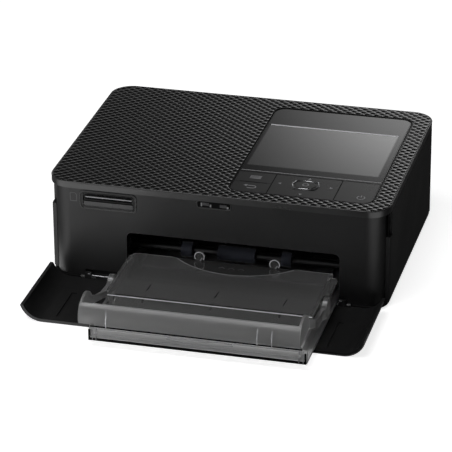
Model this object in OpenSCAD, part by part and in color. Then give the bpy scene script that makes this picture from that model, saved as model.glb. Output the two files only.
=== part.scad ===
// Compact photo printer, standing on its feet with the paper cassette fitted
// and both front covers open. Millimetres, +Z up, front towards -Y.
// The origin lies on the table under the middle of the whole outline.

/* [Case] */
// Width of the case over both side panels
case_w = 182.2; // [181:0.2:186]
// Depth of the case from the front rim to the back
case_d = 133; // [132:0.5:136]
// Height of the printer on its feet
case_h = 57.6; // [57:0.2:60]
// Plan radius of the case corners
corner_r = 12; // [11:0.5:13]
// Thickness of the outer panels and of the top cover
panel_t = 2; // [1.8:0.1:2.2]
// Height of the vertical band round the top cover
rim_h = 3.6; // [3.4:0.1:3.8]
// Height of the rubber feet below the base plate
foot_h = 2.2; // [2.1:0.1:2.6]
// Thickness of the base plate
base_t = 1.5; // [1.3:0.1:1.8]
// Gap between the skirt under the front edge and the surface that the feet stand on
skirt_gap = 0.4; // [0.3:0.1:0.6]
// Distance that the front panel stands back from the rim
front_recess = 2.2; // [2.1:0.1:2.4]
// Distance from the case centre to the front edges of the side panels
side_front = 57.4; // [57:0.1:58]
// Height of the finger recess in each side panel
recess_h = 14; // [12:0.5:16]
// Depth of the finger recess in each side panel
recess_d = 4.5; // [4.2:0.1:5]

/* [Print opening] */
// Sideways place of the cassette and its opening
bay_x = 8.75; // [8.25:0.05:9.25]
// Gap between the cassette and each side of the opening
bay_gap = 0.45; // [0.35:0.05:0.6]
// Height of the opening above the base plate
bay_h = 26.8; // [26:0.1:28]
// Radius of the top corners of the opening
bay_r = 3; // [1:0.5:4]

/* [Front flap] */
// Thickness of the flap
flap_t = 1.6; // [1.4:0.1:1.7]
// Width of each flap knuckle
knuckle_w = 3.8; // [3:0.1:4.4]
// Place of the left flap knuckle
hinge_left_x = -69.4; // [-71:0.1:-68]
// Place of the right flap knuckle
hinge_right_x = 68; // [67.5:0.1:70]
// Radius of the flap hinge pins
hinge_pin_r = 0.8; // [0.7:0.05:0.85]

/* [Ribbon door] */
// Radius of the round rear edge that the door turns about
door_barrel_r = 2; // [1.9:0.05:2.1]
// Radius of the door pins
door_pin_r = 0.9; // [0.7:0.05:1]
// Gap round the edges of the door
door_gap = 0.3; // [0.25:0.05:0.5]

/* [Control panel] */
// Left edge of the control panel
panel_left = 4.4; // [3.9:0.1:4.9]
// Right edge of the control panel
panel_right = 80.8; // [80.4:0.1:81.4]
// Distance from the front rim of the case to the control panel
panel_inset = 9.5; // [9.3:0.1:10]
// Depth of the control panel from front to back
panel_d = 112; // [111.5:0.1:112.5]
// Corner radius of the control panel
panel_r = 6; // [4:0.5:7]
// Width of the picture area of the display
screen_w = 71; // [70:0.1:72]
// Depth of the picture area of the display
screen_d = 54.1; // [53:0.1:55]
// Travel of each key
key_travel = 0.4; // [0.3:0.05:0.45]
// Gap round each key
key_gap = 0.2; // [0.15:0.05:0.3]
// Width of the middle key over its flats
ok_w = 9.6; // [9:0.1:10]

/* [Card slot] */
// Place of the card slot, measured to its middle
card_x = -57.9; // [-58.4:0.1:-57.4]
// Width of the card bezel
card_w = 29.9; // [29:0.1:31]
// Height of the card bezel
card_h = 9.6; // [9:0.1:10]
// Width of the card slot mouth
card_mouth_w = 25.4; // [24.6:0.1:26]

/* [Cassette] */
// Width of the paper cassette
tray_w = 113.2; // [112.8:0.1:113.6]
// Distance from the case centre to the front of the cassette
tray_front = 137; // [136.5:0.1:138]
// Distance from the case centre to the back of the cassette
tray_back = 46; // [44:0.5:47]
// Height of the cassette side walls
tray_wall_h = 8; // [7.8:0.1:8.2]
// Thickness of the cassette walls
tray_t = 1.4; // [1.2:0.1:1.5]
// Gap between the cassette and the base plate
tray_clear = 0.3; // [0.25:0.05:0.4]
// Height of the lid top above the underside of the cassette
lid_top = 12.8; // [12.6:0.1:13]
// Distance from the case centre to the front edge of the lid
lid_front = 110; // [109.7:0.1:110.3]
// Distance from the case centre to the back edge of the lid
lid_back = 59.5; // [59:0.1:60]
// Height of the cassette cover rim above the underside of the cassette
cover_rim = 18.3; // [18.1:0.1:18.5]
// Distance from the case centre to the pivots of the cassette cover
cover_pivot = 87; // [86.7:0.1:87.3]
// Radius of the round ears of the cassette cover
ear_r = 5.2; // [5:0.1:5.4]

/* [Rollers and shafts] */
// Height of the pick-up shaft above the base plate
pick_h = 11.8; // [11.7:0.1:12]
// Distance from the case centre to the pick-up shaft
pick_front = 46; // [45.8:0.1:46.2]
// Radius of the rubber pick-up rollers
pick_r = 4; // [3.8:0.1:4]
// Height of the platen shaft above the base plate
platen_h = 16.3; // [16.2:0.1:16.6]
// Radius of the platen roller
platen_r = 5.5; // [5.3:0.1:5.5]
// Radius of the feed roller
feed_r = 4; // [3.8:0.1:4.1]
// Radius of the pinch roller
pinch_r = 3; // [2.8:0.1:3]
// Radius of the steel shafts
shaft_r = 2; // [1.9:0.05:2.1]
// Gap between a shaft and its bush, on the radius
run_gap = 0.05; // [0.03:0.01:0.08]

/* [Gears] */
// Pitch diameter divided by the number of teeth
gear_module = 0.6; // [0.6:0.01:0.61]
// Teeth of the platen gear
platen_teeth = 30; // [30:1:30]
// Teeth of each pick-up idler gear
pick_idler_teeth = 34; // [34:1:34]
// Teeth of the pick-up gear
pick_teeth = 26; // [26:1:26]
// Teeth of the feed idler gear
feed_idler_teeth = 36; // [36:1:36]
// Teeth of the feed gear
feed_teeth = 20; // [20:1:20]
// Teeth of the motor pinion
pinion_teeth = 12; // [12:1:12]
// Teeth of the take-up gear
takeup_teeth = 32; // [32:1:32]
// Width of the gears
gear_w = 3; // [2.6:0.1:3.2]

/* [Ribbon] */
// Outer radius of the ribbon tubes
tube_r = 11; // [10.8:0.1:11.1]
// Wall thickness of the ribbon tubes
tube_t = 1.3; // [1.2:0.1:1.4]
// Radius of the unused ribbon roll
supply_r = 8.4; // [8:0.1:8.5]
// Radius of the used ribbon roll
takeup_r = 6.2; // [5.5:0.1:7]

/* [Hidden] */
$fn = 48;

// Colours of the materials
black_plastic = "#1b1b1d";
glossy_black = "#0d0e10";
smoke_plastic = "#3a3a3a";
steel = "#b8bbc0";
rubber_blue = "#2c3038";
board_green = "#1d4a2c";
white_plastic = "#d9d8d2";

// How far a cutting shape runs past the face that it cuts
over = 1;
// Shift from the case centre to the middle of the whole outline
shift_y = (tray_front - case_d / 2) / 2;
front_y = -case_d / 2 + front_recess;
back_y = case_d / 2;
side_x = case_w / 2;
panel_front = case_d / 2 - panel_inset;
panel_back = panel_d - panel_front;
floor_z = foot_h + base_t;
cover_z = case_h - rim_h;
plate_z = case_h - panel_t;

// Control panel levels
key_top = case_h - 0.2;
glass_z = case_h - 1.4;
flange_z = case_h - 3.2;
key_z = plate_z;
switch_z = flange_z - 0.1;
key_board_z = switch_z - 1.1 - 1.2;
key_front = -panel_front + 0.6;
key_back = -panel_front + 25.2;
key_split = (key_front + key_back) / 2;
key_left = panel_left + 0.6;
key_right = panel_right - 0.6;
pad_left = panel_left + 20.7;
pad_right = panel_right - 20.6;
ok_at = [(pad_left + pad_right) / 2, key_split + 2.4];
glass_front = key_back + 2.2;
screen_left = panel_left + 1.8;
screen_front = glass_front + 6.6;

// Chassis and electronics
board_z = cover_z - 2.6;
plate_t = 1.2;
chassis_l = bay_x - tray_w / 2 - 3.55;
chassis_r = bay_x + tray_w / 2 + 2.05;
gear_x = chassis_l - plate_t - 1.4 - gear_w;
roll_l = bay_x - 52.75;
roll_r = bay_x + 53.25;
bush_r = shaft_r + 1.2;

// Shaft places, as distance behind the case centre and height
pick_at = [-pick_front, floor_z + pick_h];
platen_at = [10, floor_z + platen_h];
feed_at = [46, platen_at[1]];
pinch_at = [feed_at[0], feed_at[1] + feed_r + pinch_r + 0.3];
supply_at = [33, floor_z + 34.3];
head_pivot = [platen_at[0] + 8.5, platen_at[1] + 11];
film_z = platen_at[1] + platen_r + 0.15;
film_t = 0.15;

function pitch_r(teeth) = gear_module * teeth / 2;
function reach(a, b) = pitch_r(a) + pitch_r(b);
function way(angle) = [cos(angle), sin(angle)];
function heading(a, b) = atan2(b[1] - a[1], b[0] - a[0]);
// Point at distances from_p and from_q from p and q, to the left of the line p-q
function meet(p, q, from_p, from_q) =
  let (d = norm(q - p), u = (q - p) / d,
       along = (from_p * from_p - from_q * from_q + d * d) / (2 * d),
       off = sqrt(from_p * from_p - along * along))
  p + along * u + off * [-u[1], u[0]];
// Turn of a gear so that its gap meets a tooth of the gear that drives it
function mesh_turn(from, to, driver, driver_turn, teeth) =
  let (aim = heading(from, to))
  aim + 180 + (driver * (aim - driver_turn) - 180) / teeth;
// Centre of the circle through three points
function centre_of(a, b, c) =
  let (p = b - a, q = c - a, k = 2 * (p[0] * q[1] - p[1] * q[0]),
       pp = p * p, qq = q * q)
  a + [q[1] * pp - p[1] * qq, p[0] * qq - q[0] * pp] / k;

front_idler_at = platen_at + reach(platen_teeth, pick_idler_teeth) * way(heading(platen_at, pick_at));
middle_idler_at = meet(pick_at, front_idler_at, reach(pick_teeth, pick_idler_teeth),
                       reach(pick_idler_teeth, pick_idler_teeth));
feed_idler_at = meet(platen_at, feed_at, reach(platen_teeth, feed_idler_teeth),
                     reach(feed_idler_teeth, feed_teeth));
pinion_at = feed_idler_at + reach(feed_idler_teeth, pinion_teeth) * way(60);
takeup_at = front_idler_at + reach(pick_idler_teeth, takeup_teeth) * way(100);
front_idler_turn = mesh_turn(platen_at, front_idler_at, platen_teeth, 0, pick_idler_teeth);
middle_idler_turn = mesh_turn(front_idler_at, middle_idler_at, pick_idler_teeth,
                              front_idler_turn, pick_idler_teeth);
pick_turn = mesh_turn(middle_idler_at, pick_at, pick_idler_teeth, middle_idler_turn, pick_teeth);
feed_idler_turn = mesh_turn(platen_at, feed_idler_at, platen_teeth, 0, feed_idler_teeth);
feed_turn = mesh_turn(feed_idler_at, feed_at, feed_idler_teeth, feed_idler_turn, feed_teeth);
pinion_turn = mesh_turn(feed_idler_at, pinion_at, feed_idler_teeth, feed_idler_turn, pinion_teeth);
takeup_turn = mesh_turn(front_idler_at, takeup_at, pick_idler_teeth, front_idler_turn, takeup_teeth);

// Cassette levels and sides
tray_z = floor_z + tray_clear;
tray_l = bay_x - tray_w / 2;
tray_r = bay_x + tray_w / 2;
wall_top = tray_z + tray_wall_h;
ear_seat = 2.75;
wall_r = tray_r - ear_seat;
lid_z = tray_z + lid_top;
lid_t = 0.8;
lid_l = bay_x - 54.75;
lid_r = bay_x + 53.25;
lid_hinge = [-lid_front + 3.5, tray_z + 9.4];
lid_pin_r = 1.1;
ear_at = [-cover_pivot, tray_z + 7.3];
ear_pin_r = 1.6;
cover_l = bay_x - 62.15;
cover_r = bay_x + 52.85;
cover_floor = wall_top + 0.3;
cover_t = 1.3;
rim_at = [-cover_pivot - 45.3, tray_z + cover_rim];
bow_at = [rim_at[0] - 3.8, rim_at[1] - 7.1];
toe_at = [rim_at[0] - 3.3, cover_floor];
peak_at = [rim_at[0] + 9.8, rim_at[1] + 1.7];
heel_at = [rim_at[0] + 17.3, rim_at[1] - 4.3];

// Flap axis, near the lower front edge of the case
flap_at = [front_y - 0.6, foot_h - 0.2];
flap_top = cover_z - 0.1;
door_at = [side_x - door_barrel_r, 52.5];
door_z = floor_z + door_gap;
door_top = cover_z - door_gap;

// Moves a module from the case centre to the frame of the whole object
module place() translate([0, shift_y, 0]) children();

// Box between two limits along each axis
module block(x, y, z)
  translate([x[0], y[0], z[0]]) cube([x[1] - x[0], y[1] - y[0], z[1] - z[0]]);

// Puts a shape drawn in depth and height so that it runs along the width
module across(x, at = [0, 0]) translate([x, at[0], at[1]]) rotate([90, 0, 90]) children();

// Cylinder along the width between two limits
module rod(x, at, r) across(x[0], at) cylinder(h = x[1] - x[0], r = r);

// Plate of an outline drawn in depth and height, between two limits of width
module slice(x) across(x[0]) linear_extrude(x[1] - x[0]) children();

module round_rect(w, d, r) {
  square([w - 2 * r, d], center = true);
  square([w, d - 2 * r], center = true);
  for (sx = [-1, 1]) for (sy = [-1, 1])
    translate([sx * (w / 2 - r), sy * (d / 2 - r)]) circle(r);
}

module case_outline(inset = 0)
  round_rect(case_w - 2 * inset, case_d - 2 * inset, corner_r - inset);

// Standing wall that follows the case outline, between two limits of depth and height
module case_wall(inset, t, y, z)
  translate([0, 0, z[0]]) linear_extrude(z[1] - z[0]) intersection() {
    difference() {
      case_outline(inset);
      case_outline(inset + t);
    }
    translate([-case_w, y[0]]) square([2 * case_w, y[1] - y[0]]);
  }

// Rounded rectangle between limits, with its own radius at each corner
module cornered(x, y, front_left, front_right, back_right, back_left) difference() {
  translate([x[0], y[0]]) square([x[1] - x[0], y[1] - y[0]]);
  corner_waste([x[0], y[0]], [0, 0], front_left);
  corner_waste([x[1], y[0]], [1, 0], front_right);
  corner_waste([x[1], y[1]], [1, 1], back_right);
  corner_waste([x[0], y[1]], [0, 1], back_left);
}

// What a round corner takes away from a square one
module corner_waste(at, flip, r)
  translate(at) mirror([flip[0], 0]) mirror([0, flip[1]]) difference() {
    translate([-over, -over]) square(r + over);
    translate([r, r]) circle(r);
  }

module panel_outline(grow = 0)
  cornered([panel_left - grow, panel_right + grow], [-panel_front - grow, panel_back + grow],
           1, panel_r + grow, panel_r + grow, panel_r + grow);

// ---- Case ----

post_x = side_x - 12.1;
FRONT_POSTS = [for (side = [-1, 1]) [side * (side_x - 9.1), front_y + 5.3]];
BACK_POSTS = [for (side = [-1, 1]) [side * post_x, back_y - 7.5]];
POSTS = concat(FRONT_POSTS, BACK_POSTS);
front_post_h = 14;
post_r = 3;
screw_r = 1.4;
screw_head_r = 2.8;
foot_r = 5;
foot_x = side_x - 19.1;
FEET = [for (x = [-foot_x, foot_x]) for (y = [front_y + 20.3, back_y - 18.5]) [x, y]];
FLAP_HINGES = [hinge_left_x, hinge_right_x];
knuckle_r = 1.5;
lug_w = 2.2;
lug_gap = 0.2;
pin_half = knuckle_w / 2 + lug_w;

module base_shell() color(black_plastic) place() {
  difference() {
    union() {
      translate([0, 0, foot_h]) linear_extrude(base_t) {
        case_outline(front_recess);
        intersection() {
          case_outline(0.4);
          translate([-case_w, -side_front]) square([2 * case_w, case_d]);
        }
      }
      for (x = FLAP_HINGES) for (side = [-1, 1]) flap_lug(x + side * (knuckle_w + lug_w + 2 * lug_gap) / 2);
      tray_guides();
      case_wall(front_recess, base_t, [-case_d, -side_front], [skirt_gap, foot_h + base_t / 2]);
    }
    for (x = FLAP_HINGES) {
      block([x - knuckle_w / 2 - lug_gap, x + knuckle_w / 2 + lug_gap],
            [front_y - over, flap_at[0] + knuckle_r + 0.3], [0, floor_z + over]);
      rod([x - pin_half, x + pin_half], flap_at, hinge_pin_r);
    }
    for (p = POSTS) translate([p[0], p[1], 0]) cylinder(h = floor_z + over, r = screw_r + 0.1);
    translate([door_at[0], door_at[1], 0]) cylinder(h = floor_z + over, r = door_pin_r);
  }
}

// Ear of the base plate that carries a flap hinge pin
module flap_lug(x) slice([x - lug_w / 2, x + lug_w / 2]) {
  translate(flap_at) circle(knuckle_r);
  translate([flap_at[0], flap_at[1] - knuckle_r]) square([5, foot_h - flap_at[1] + knuckle_r + 0.2]);
}

// Low rails that keep the cassette straight
module tray_guides() for (side = [-1, 1]) {
  inner = bay_x + side * (tray_w / 2 + 0.5);
  block([min(inner, inner + side * 1.2), max(inner, inner + side * 1.2)],
        [front_y + 5, tray_back + 1], [floor_z - 0.2, floor_z + 4.5]);
}

module rubber_feet() color("#101010") place()
  for (p = FEET) translate([p[0], p[1], 0]) cylinder(h = foot_h, r = foot_r);

module case_screws() color(steel) place() for (p = POSTS) translate([p[0], p[1], 0]) {
  translate([0, 0, foot_h - 1.3]) cylinder(h = 1.3, r = screw_head_r);
  translate([0, 0, foot_h]) cylinder(h = screw_len, r = screw_r);
}

module top_cover() color(black_plastic) place() difference() {
  union() {
    translate([0, 0, plate_z]) linear_extrude(panel_t) case_outline();
    case_wall(0, panel_t, [-case_d, case_d], [cover_z, plate_z + over / 2]);
    for (p = BACK_POSTS) translate([p[0], p[1], floor_z])
      cylinder(h = plate_z + 0.5 - floor_z, r = post_r);
    translate([door_at[0], door_at[1], cover_z]) cylinder(h = plate_z + 0.5 - cover_z, r = door_barrel_r);
    for (x = [board_x[0] + 8, board_x[1] - 8]) for (y = [-30, 40])
      translate([x, y, board_z + 1.6]) cylinder(h = plate_z + 0.5 - board_z - 1.6, r = 2.5);
  }
  translate([0, 0, plate_z - over]) linear_extrude(panel_t + 2 * over) panel_outline(0.15);
  for (p = BACK_POSTS) screw_bore(p);
  translate([door_at[0], door_at[1], cover_z - over]) cylinder(h = 2.5, r = door_pin_r);
}

screw_len = 12;
module screw_bore(p) translate([p[0], p[1], floor_z - over])
  cylinder(h = foot_h + screw_len - floor_z + over, r = screw_r);

module front_panel() color(black_plastic) place() difference() {
  union() {
    case_wall(front_recess, panel_t, [-case_d, -side_front + recess_d + 0.5], [floor_z, cover_z]);
    for (p = FRONT_POSTS) translate([p[0], p[1], floor_z]) cylinder(h = front_post_h, r = post_r);
  }
  for (p = FRONT_POSTS) screw_bore(p);
  print_opening();
  bezel_hole(0.1);
  catch_hole(0.1);
  for (x = FLAP_HINGES) block([x - knuckle_w / 2 - lug_gap, x + knuckle_w / 2 + lug_gap],
    [front_y - over, front_y + panel_t + over], [floor_z - over, floor_z + 2.8]);
}

module print_opening() translate([0, front_y + panel_t + over, 0]) rotate([90, 0, 0])
  linear_extrude(panel_t + 2 * over)
    cornered([tray_l - bay_gap, tray_r + bay_gap], [floor_z - over, floor_z + bay_h], 0, 0, bay_r, bay_r);

card_z = cover_z - 2 - card_h;
module bezel_hole(gap) translate([0, front_y + panel_t + over, 0]) rotate([90, 0, 0])
  linear_extrude(panel_t + 2 * over) translate([card_x, card_z + card_h / 2])
    round_rect(card_w + 2 * gap, card_h + 2 * gap, 1.5);

// Rounded slot for the catch that holds the closed flap
module catch_hole(gap) translate([-0.8, front_y + panel_t + over, cover_z - 2.8]) rotate([90, 0, 0])
  linear_extrude(panel_t + 2 * over) round_rect(18.2 + 2 * gap, 4.4 + 2 * gap, 2.1);

module flap_catch() color(black_plastic) place() difference() {
  intersection() {
    catch_hole(0);
    block([-20, 20], [front_y + 0.8, front_y + panel_t], [0, case_h]);
  }
  for (x = [-3.2, 0, 3.2]) translate([x - 0.8, front_y + 1.4, cover_z - 2.8]) rotate([90, 0, 0])
    cylinder(h = 2, r = x == 0 ? 1.3 : 0.6);
}

// Fixed part of a side panel, with its finger recess
module side_wall(side, y) difference() {
  intersection() {
    case_wall(0, panel_t, y, [floor_z, cover_z]);
    block([side < 0 ? -case_w : 0, side < 0 ? 0 : case_w], y, [0, case_h]);
  }
  block(side < 0 ? [-side_x - over, -side_x + panel_t + 0.5] : [side_x - panel_t - 0.5, side_x + over],
        [-side_front - over, -side_front + recess_d], [cover_z - recess_h, cover_z + over]);
}

module left_panel() color(black_plastic) place() side_wall(-1, [-side_front, door_at[1] + 2]);

slot_z = [platen_at[1] + 1, platen_at[1] + 7.5];
jack_at = [21.1 - side_x, floor_z + 10];
jack_r = 4;
usb_at = [jack_at[0] + 18, floor_z + 9];

module rear_panel() color(black_plastic) place() difference() {
  case_wall(0, panel_t, [door_at[1] + door_barrel_r + door_gap, case_d], [floor_z, cover_z]);
  block([roll_l - 0.5, roll_r + 0.5], [back_y - panel_t - over, back_y + over], slot_z);
  translate([jack_at[0], back_y + over, jack_at[1]]) rotate([90, 0, 0])
    cylinder(h = panel_t + 2 * over, r = jack_r + 0.1);
  block([usb_at[0] - 4.6, usb_at[0] + 4.6], [back_y - panel_t - over, back_y + over],
        [usb_at[1] - 1.7, usb_at[1] + 1.7]);
  for (row = [0:4]) block([20, 60], [back_y - 0.8, back_y + over],
    [floor_z + 32 + 3 * row, floor_z + 33.4 + 3 * row]);
}

module ribbon_door() color(black_plastic) place() difference() {
  union() {
    block([side_x - panel_t, side_x], [-corner_r - 42, door_at[1]], [door_z, door_top]);
    intersection() {
      case_wall(0, panel_t, [-side_front, -corner_r - 41], [door_z, door_top]);
      block([0, case_w], [-case_d, case_d], [0, case_h]);
    }
    translate([door_at[0], door_at[1], door_z]) cylinder(h = door_top - door_z, r = door_barrel_r);
  }
  block([side_x - panel_t - 0.5, side_x + over], [-side_front - over, -side_front + recess_d],
        [cover_z - recess_h, cover_z + over]);
  for (z = [door_z - over, door_top - 5]) translate([door_at[0], door_at[1], z])
    cylinder(h = 5 + over, r = door_pin_r + run_gap);
}

module hinge_pins() color(steel) place() {
  for (x = FLAP_HINGES) rod([x - pin_half, x + pin_half], flap_at, hinge_pin_r);
  translate([door_at[0], door_at[1], foot_h + 0.1]) cylinder(h = base_t + 4.5, r = door_pin_r);
  translate([door_at[0], door_at[1], cover_z - 4.5]) cylinder(h = 6, r = door_pin_r);
}

// The flap is drawn closed, against the front, and then turned down about its hinge
module front_flap() color(black_plastic) place() difference() {
  union() {
    translate([0, flap_at[0], flap_at[1]]) rotate([90, 0, 0]) translate([0, -flap_at[0], -flap_at[1]])
      case_wall(0, flap_t, [-case_d, -side_front - 0.5], [flap_at[1] + 0.4, flap_top]);
    for (x = FLAP_HINGES) {
      rod([x - knuckle_w / 2, x + knuckle_w / 2], flap_at, knuckle_r);
      block([x - knuckle_w / 2, x + knuckle_w / 2], [flap_at[0] - 1.6, front_y - 0.3],
            [flap_at[1], flap_at[1] + 3.6]);
    }
  }
  for (x = FLAP_HINGES) {
    rod([x - knuckle_w, x + knuckle_w], flap_at, hinge_pin_r + run_gap);
    for (side = [-1, 1]) lug_clearance(x + side * (knuckle_w + lug_w + 2 * lug_gap) / 2);
  }
  for (side = [-1, 1]) block([side * 71.5 - 1.4, side * 71.5 + 1.4], [-112, -84],
    [flap_at[1] - 0.6, flap_at[1] + 1]);
}

// Room in the flap for an ear of the base plate
module lug_clearance(x) block([x - lug_w / 2 - lug_gap, x + lug_w / 2 + lug_gap],
  [flap_at[0] - knuckle_r - 0.3, flap_at[0] + 4], [0, foot_h + 6]);

// ---- Control panel ----

module panel_frame() color(glossy_black) place() difference() {
  union() {
    translate([0, 0, flange_z]) linear_extrude(key_top - flange_z) panel_outline(-0.05);
    translate([0, 0, flange_z]) linear_extrude(plate_z - flange_z) panel_outline(1.4);
    for (x = [panel_left - 0.5, panel_right + 0.5]) for (y = [key_front + 6, key_back - 6])
      block([x - 0.6, x + 0.6], [y - 2, y + 2], [key_board_z + 1.2, flange_z + 0.1]);
  }
  translate([0, 0, glass_z]) linear_extrude(over + 2) glass_outline(0.1);
  module_bed([-0.4, 0.4], [flange_z - over, glass_z + over / 2]);
  translate([0, 0, flange_z - over]) linear_extrude(panel_t + 4) keys_outline(0.2);
}

module glass_outline(grow)
  cornered([panel_left + 0.7 - grow, panel_right - 0.7 + grow], [glass_front - grow, panel_back - 0.7 + grow],
           0.4, 0.4, panel_r - 0.7 + grow, panel_r - 0.7 + grow);

module keys_outline(grow)
  cornered([key_left - grow, key_right + grow], [key_front - grow, key_back + grow],
           0.6, panel_r - 0.6 + grow, 0.4, 0.4);

module display_glass() color(glossy_black) place()
  translate([0, 0, glass_z]) linear_extrude(key_top - glass_z) glass_outline(0);

module_x = [screen_left - 1, screen_left + screen_w + 2];
module_y = [screen_front - 2, screen_front + screen_d + 4];
module_z = flange_z - 0.8;

// Space that the display module fills in the panel frame
module module_bed(grow, z)
  block([module_x[0] + grow[0], module_x[1] + grow[1]], [module_y[0] + grow[0], module_y[1] + grow[1]], z);

module display_module() color("#6f7680") place() difference() {
  module_bed([0, 0], [module_z, glass_z]);
  block([screen_left, screen_left + screen_w], [screen_front, screen_front + screen_d],
        [glass_z - 0.3, glass_z + over]);
}

// Key with its stem; the outline of the key is drawn by the children
module key(stems) {
  translate([0, 0, key_z]) linear_extrude(key_top - key_z) children();
  for (s = stems) translate([s[0], s[1], switch_z + key_travel + 0.1])
    cylinder(h = key_z - switch_z - key_travel, r = 1.5);
}

left_key_x = [key_left, pad_left - key_gap];
menu_at = [(key_left + pad_left) / 2, (key_split + key_back) / 2];
back_at = [menu_at[0], (key_split + key_front) / 2];
power_at = [(pad_right + key_right) / 2, key_split];
PAD_STEMS = [for (a = [0:90:270]) [(pad_left + pad_right) / 2, key_split] + [12.5 * cos(a), 9.6 * sin(a)]];

module menu_key() color(glossy_black) place() key([menu_at])
  cornered(left_key_x, [key_split + key_gap / 2, key_back], 0.4, 0.4, 0.4, 0.4);

module back_key() color(glossy_black) place() key([back_at])
  cornered(left_key_x, [key_front, key_split - key_gap / 2], 0.6, 0.4, 0.4, 0.4);

module direction_pad() color(glossy_black) place() key(PAD_STEMS) difference() {
  cornered([pad_left, pad_right], [key_front, key_back], 0.4, 0.4, 0.4, 0.4);
  ok_outline(key_gap);
}

// Six-sided outline with points to the left and right
module ok_outline(grow) translate(ok_at) {
  half = ok_w / 2 + grow;
  polygon([[-half * 1.5, 0], [-half, half], [half, half], [half * 1.5, 0], [half, -half], [-half, -half]]);
}

module ok_key() color(glossy_black) place() {
  key([ok_at]) ok_outline(0);
  translate([0, 0, key_top - 0.1]) linear_extrude(0.3) ok_outline(-1);
}

module power_key() color(glossy_black) place() key([power_at])
  cornered([pad_right + key_gap, key_right], [key_front, key_back], 0.4, panel_r - 0.6, 0.4, 0.4);

module key_board() color(board_green) place()
  block([panel_left - 1.2, panel_right + 1.2], [key_front, key_back], [key_board_z, key_board_z + 1.2]);

module key_switches() color(white_plastic) place()
  for (s = concat([menu_at, back_at, ok_at, power_at], PAD_STEMS))
    translate([s[0], s[1], key_board_z + 1.2]) {
      translate([-2.2, -2.2, 0]) cube([4.4, 4.4, 0.7]);
      cylinder(h = switch_z - key_board_z - 1.2, r = 1.3);
    }

// ---- Electronics ----

board_x = [9.1 - side_x, -4];
board_y = [-48, 52];

module main_board() color(board_green) place() difference() {
  block(board_x, board_y, [board_z, board_z + 1.6]);
  for (x = [board_x[0] + 3, board_x[1] - 3]) for (y = [board_y[0] + 14, board_y[1] - 3])
    translate([x, y, board_z - over]) cylinder(h = 4, r = 1.6);
}

// Chips, capacitors and connectors: place, size and height of each
PARTS = [[-40, 4, 14, 14, 1.2], [-40, 28, 10, 12, 1], [-60, 8, 8, 12, 2.4], [-22, 24, 6, 16, 2.2],
         [-60, 30, 6, 6, 2], [-24, -20, 10, 6, 1.8], [-50, -24, 5, 5, 1.6], [-34, -36, 12, 4, 2.2]];
module board_parts() color("#26272b") place() {
  for (p = PARTS) translate([p[0] - p[2] / 2, p[1] - p[3] / 2, board_z + 1.6]) cube([p[2], p[3], p[4]]);
  for (y = [-8, 2, 12]) translate([board_x[0] + 5, y, board_z + 1.6]) cylinder(h = 2.2, r = 3);
  block([board_x[0] + 4, board_x[0] + 22], [44, 50], [board_z - 4.5, board_z]);
}

mouth_z = [card_z + 4.8, card_z + 7.5];
module card_bezel() color(black_plastic) place() difference() {
  intersection() {
    bezel_hole(0);
    block([-case_w, case_w], [front_y, front_y + panel_t], [0, case_h]);
  }
  block([card_x - card_w / 2 + 1, card_x + card_w / 2 - 1], [front_y - over, front_y + 0.9],
        [card_z + 1, card_z + card_h - 1]);
  block([card_x - card_mouth_w / 2, card_x + card_mouth_w / 2],
        [front_y - over, front_y + panel_t + over], mouth_z);
}

module card_socket() color(steel) place() difference() {
  block([card_x - card_mouth_w / 2 - 1.2, card_x + card_mouth_w / 2 + 1.2],
        [front_y + panel_t, front_y + 33], [mouth_z[0] - 0.7, board_z]);
  block([card_x - card_mouth_w / 2, card_x + card_mouth_w / 2], [front_y, front_y + 28], mouth_z);
}

module power_inlet() color("#141414") place() difference() {
  union() {
    translate([jack_at[0], back_y - 0.3, jack_at[1]]) rotate([90, 0, 0]) cylinder(h = 6, r = jack_r);
    block([jack_at[0] - 5, jack_at[0] + 5], [back_y - 15, back_y - panel_t], [floor_z, jack_at[1] + 5]);
  }
  difference() {
    translate([jack_at[0], back_y + over, jack_at[1]]) rotate([90, 0, 0]) cylinder(h = 11, r = 2.8);
    translate([jack_at[0], back_y, jack_at[1]]) rotate([90, 0, 0]) cylinder(h = 11, r = 0.9);
  }
}

module usb_socket() color(steel) place() difference() {
  block([usb_at[0] - 4.5, usb_at[0] + 4.5], [back_y - 8, back_y - 0.3], [usb_at[1] - 1.6, usb_at[1] + 1.6]);
  difference() {
    block([usb_at[0] - 4.1, usb_at[0] + 4.1], [back_y - 6.8, back_y + over],
          [usb_at[1] - 1.2, usb_at[1] + 1.2]);
    block([usb_at[0] - 3.2, usb_at[0] + 3.2], [back_y - 7, back_y - 2.3],
          [usb_at[1] - 0.35, usb_at[1] + 0.35]);
  }
}

// ---- Chassis ----

chassis_y = [front_y + 6, back_y - 9];
chassis_top = board_z;
bore_r = shaft_r + run_gap;

// Bores that both side plates share
module plate_bores() {
  for (at = [pick_at, platen_at, feed_at]) translate(at) circle(bush_r);
  for (at = [pinch_at, head_pivot]) translate(at) circle(1.5 + run_gap);
}

module chassis_left() color(steel) place() {
  slice([chassis_l - plate_t, chassis_l]) difference() {
    translate([chassis_y[0], floor_z])
      square([chassis_y[1] - chassis_y[0], chassis_top - floor_z]);
    translate([chassis_y[0] - over, mouth_z[0] - 1.7]) square([30, 20]);
    plate_bores();
    for (at = [front_idler_at, middle_idler_at, feed_idler_at]) translate(at) circle(1.5);
    translate(takeup_at) circle(2.5 + run_gap);
    translate(supply_at) circle(2.5);
  }
  for (y = [-40, 50])
    block([chassis_l - 9, chassis_l - plate_t], [y - 4, y + 4], [floor_z, floor_z + plate_t]);
  motor_ear();
}

motor_face = gear_x - 1.6;
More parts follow.
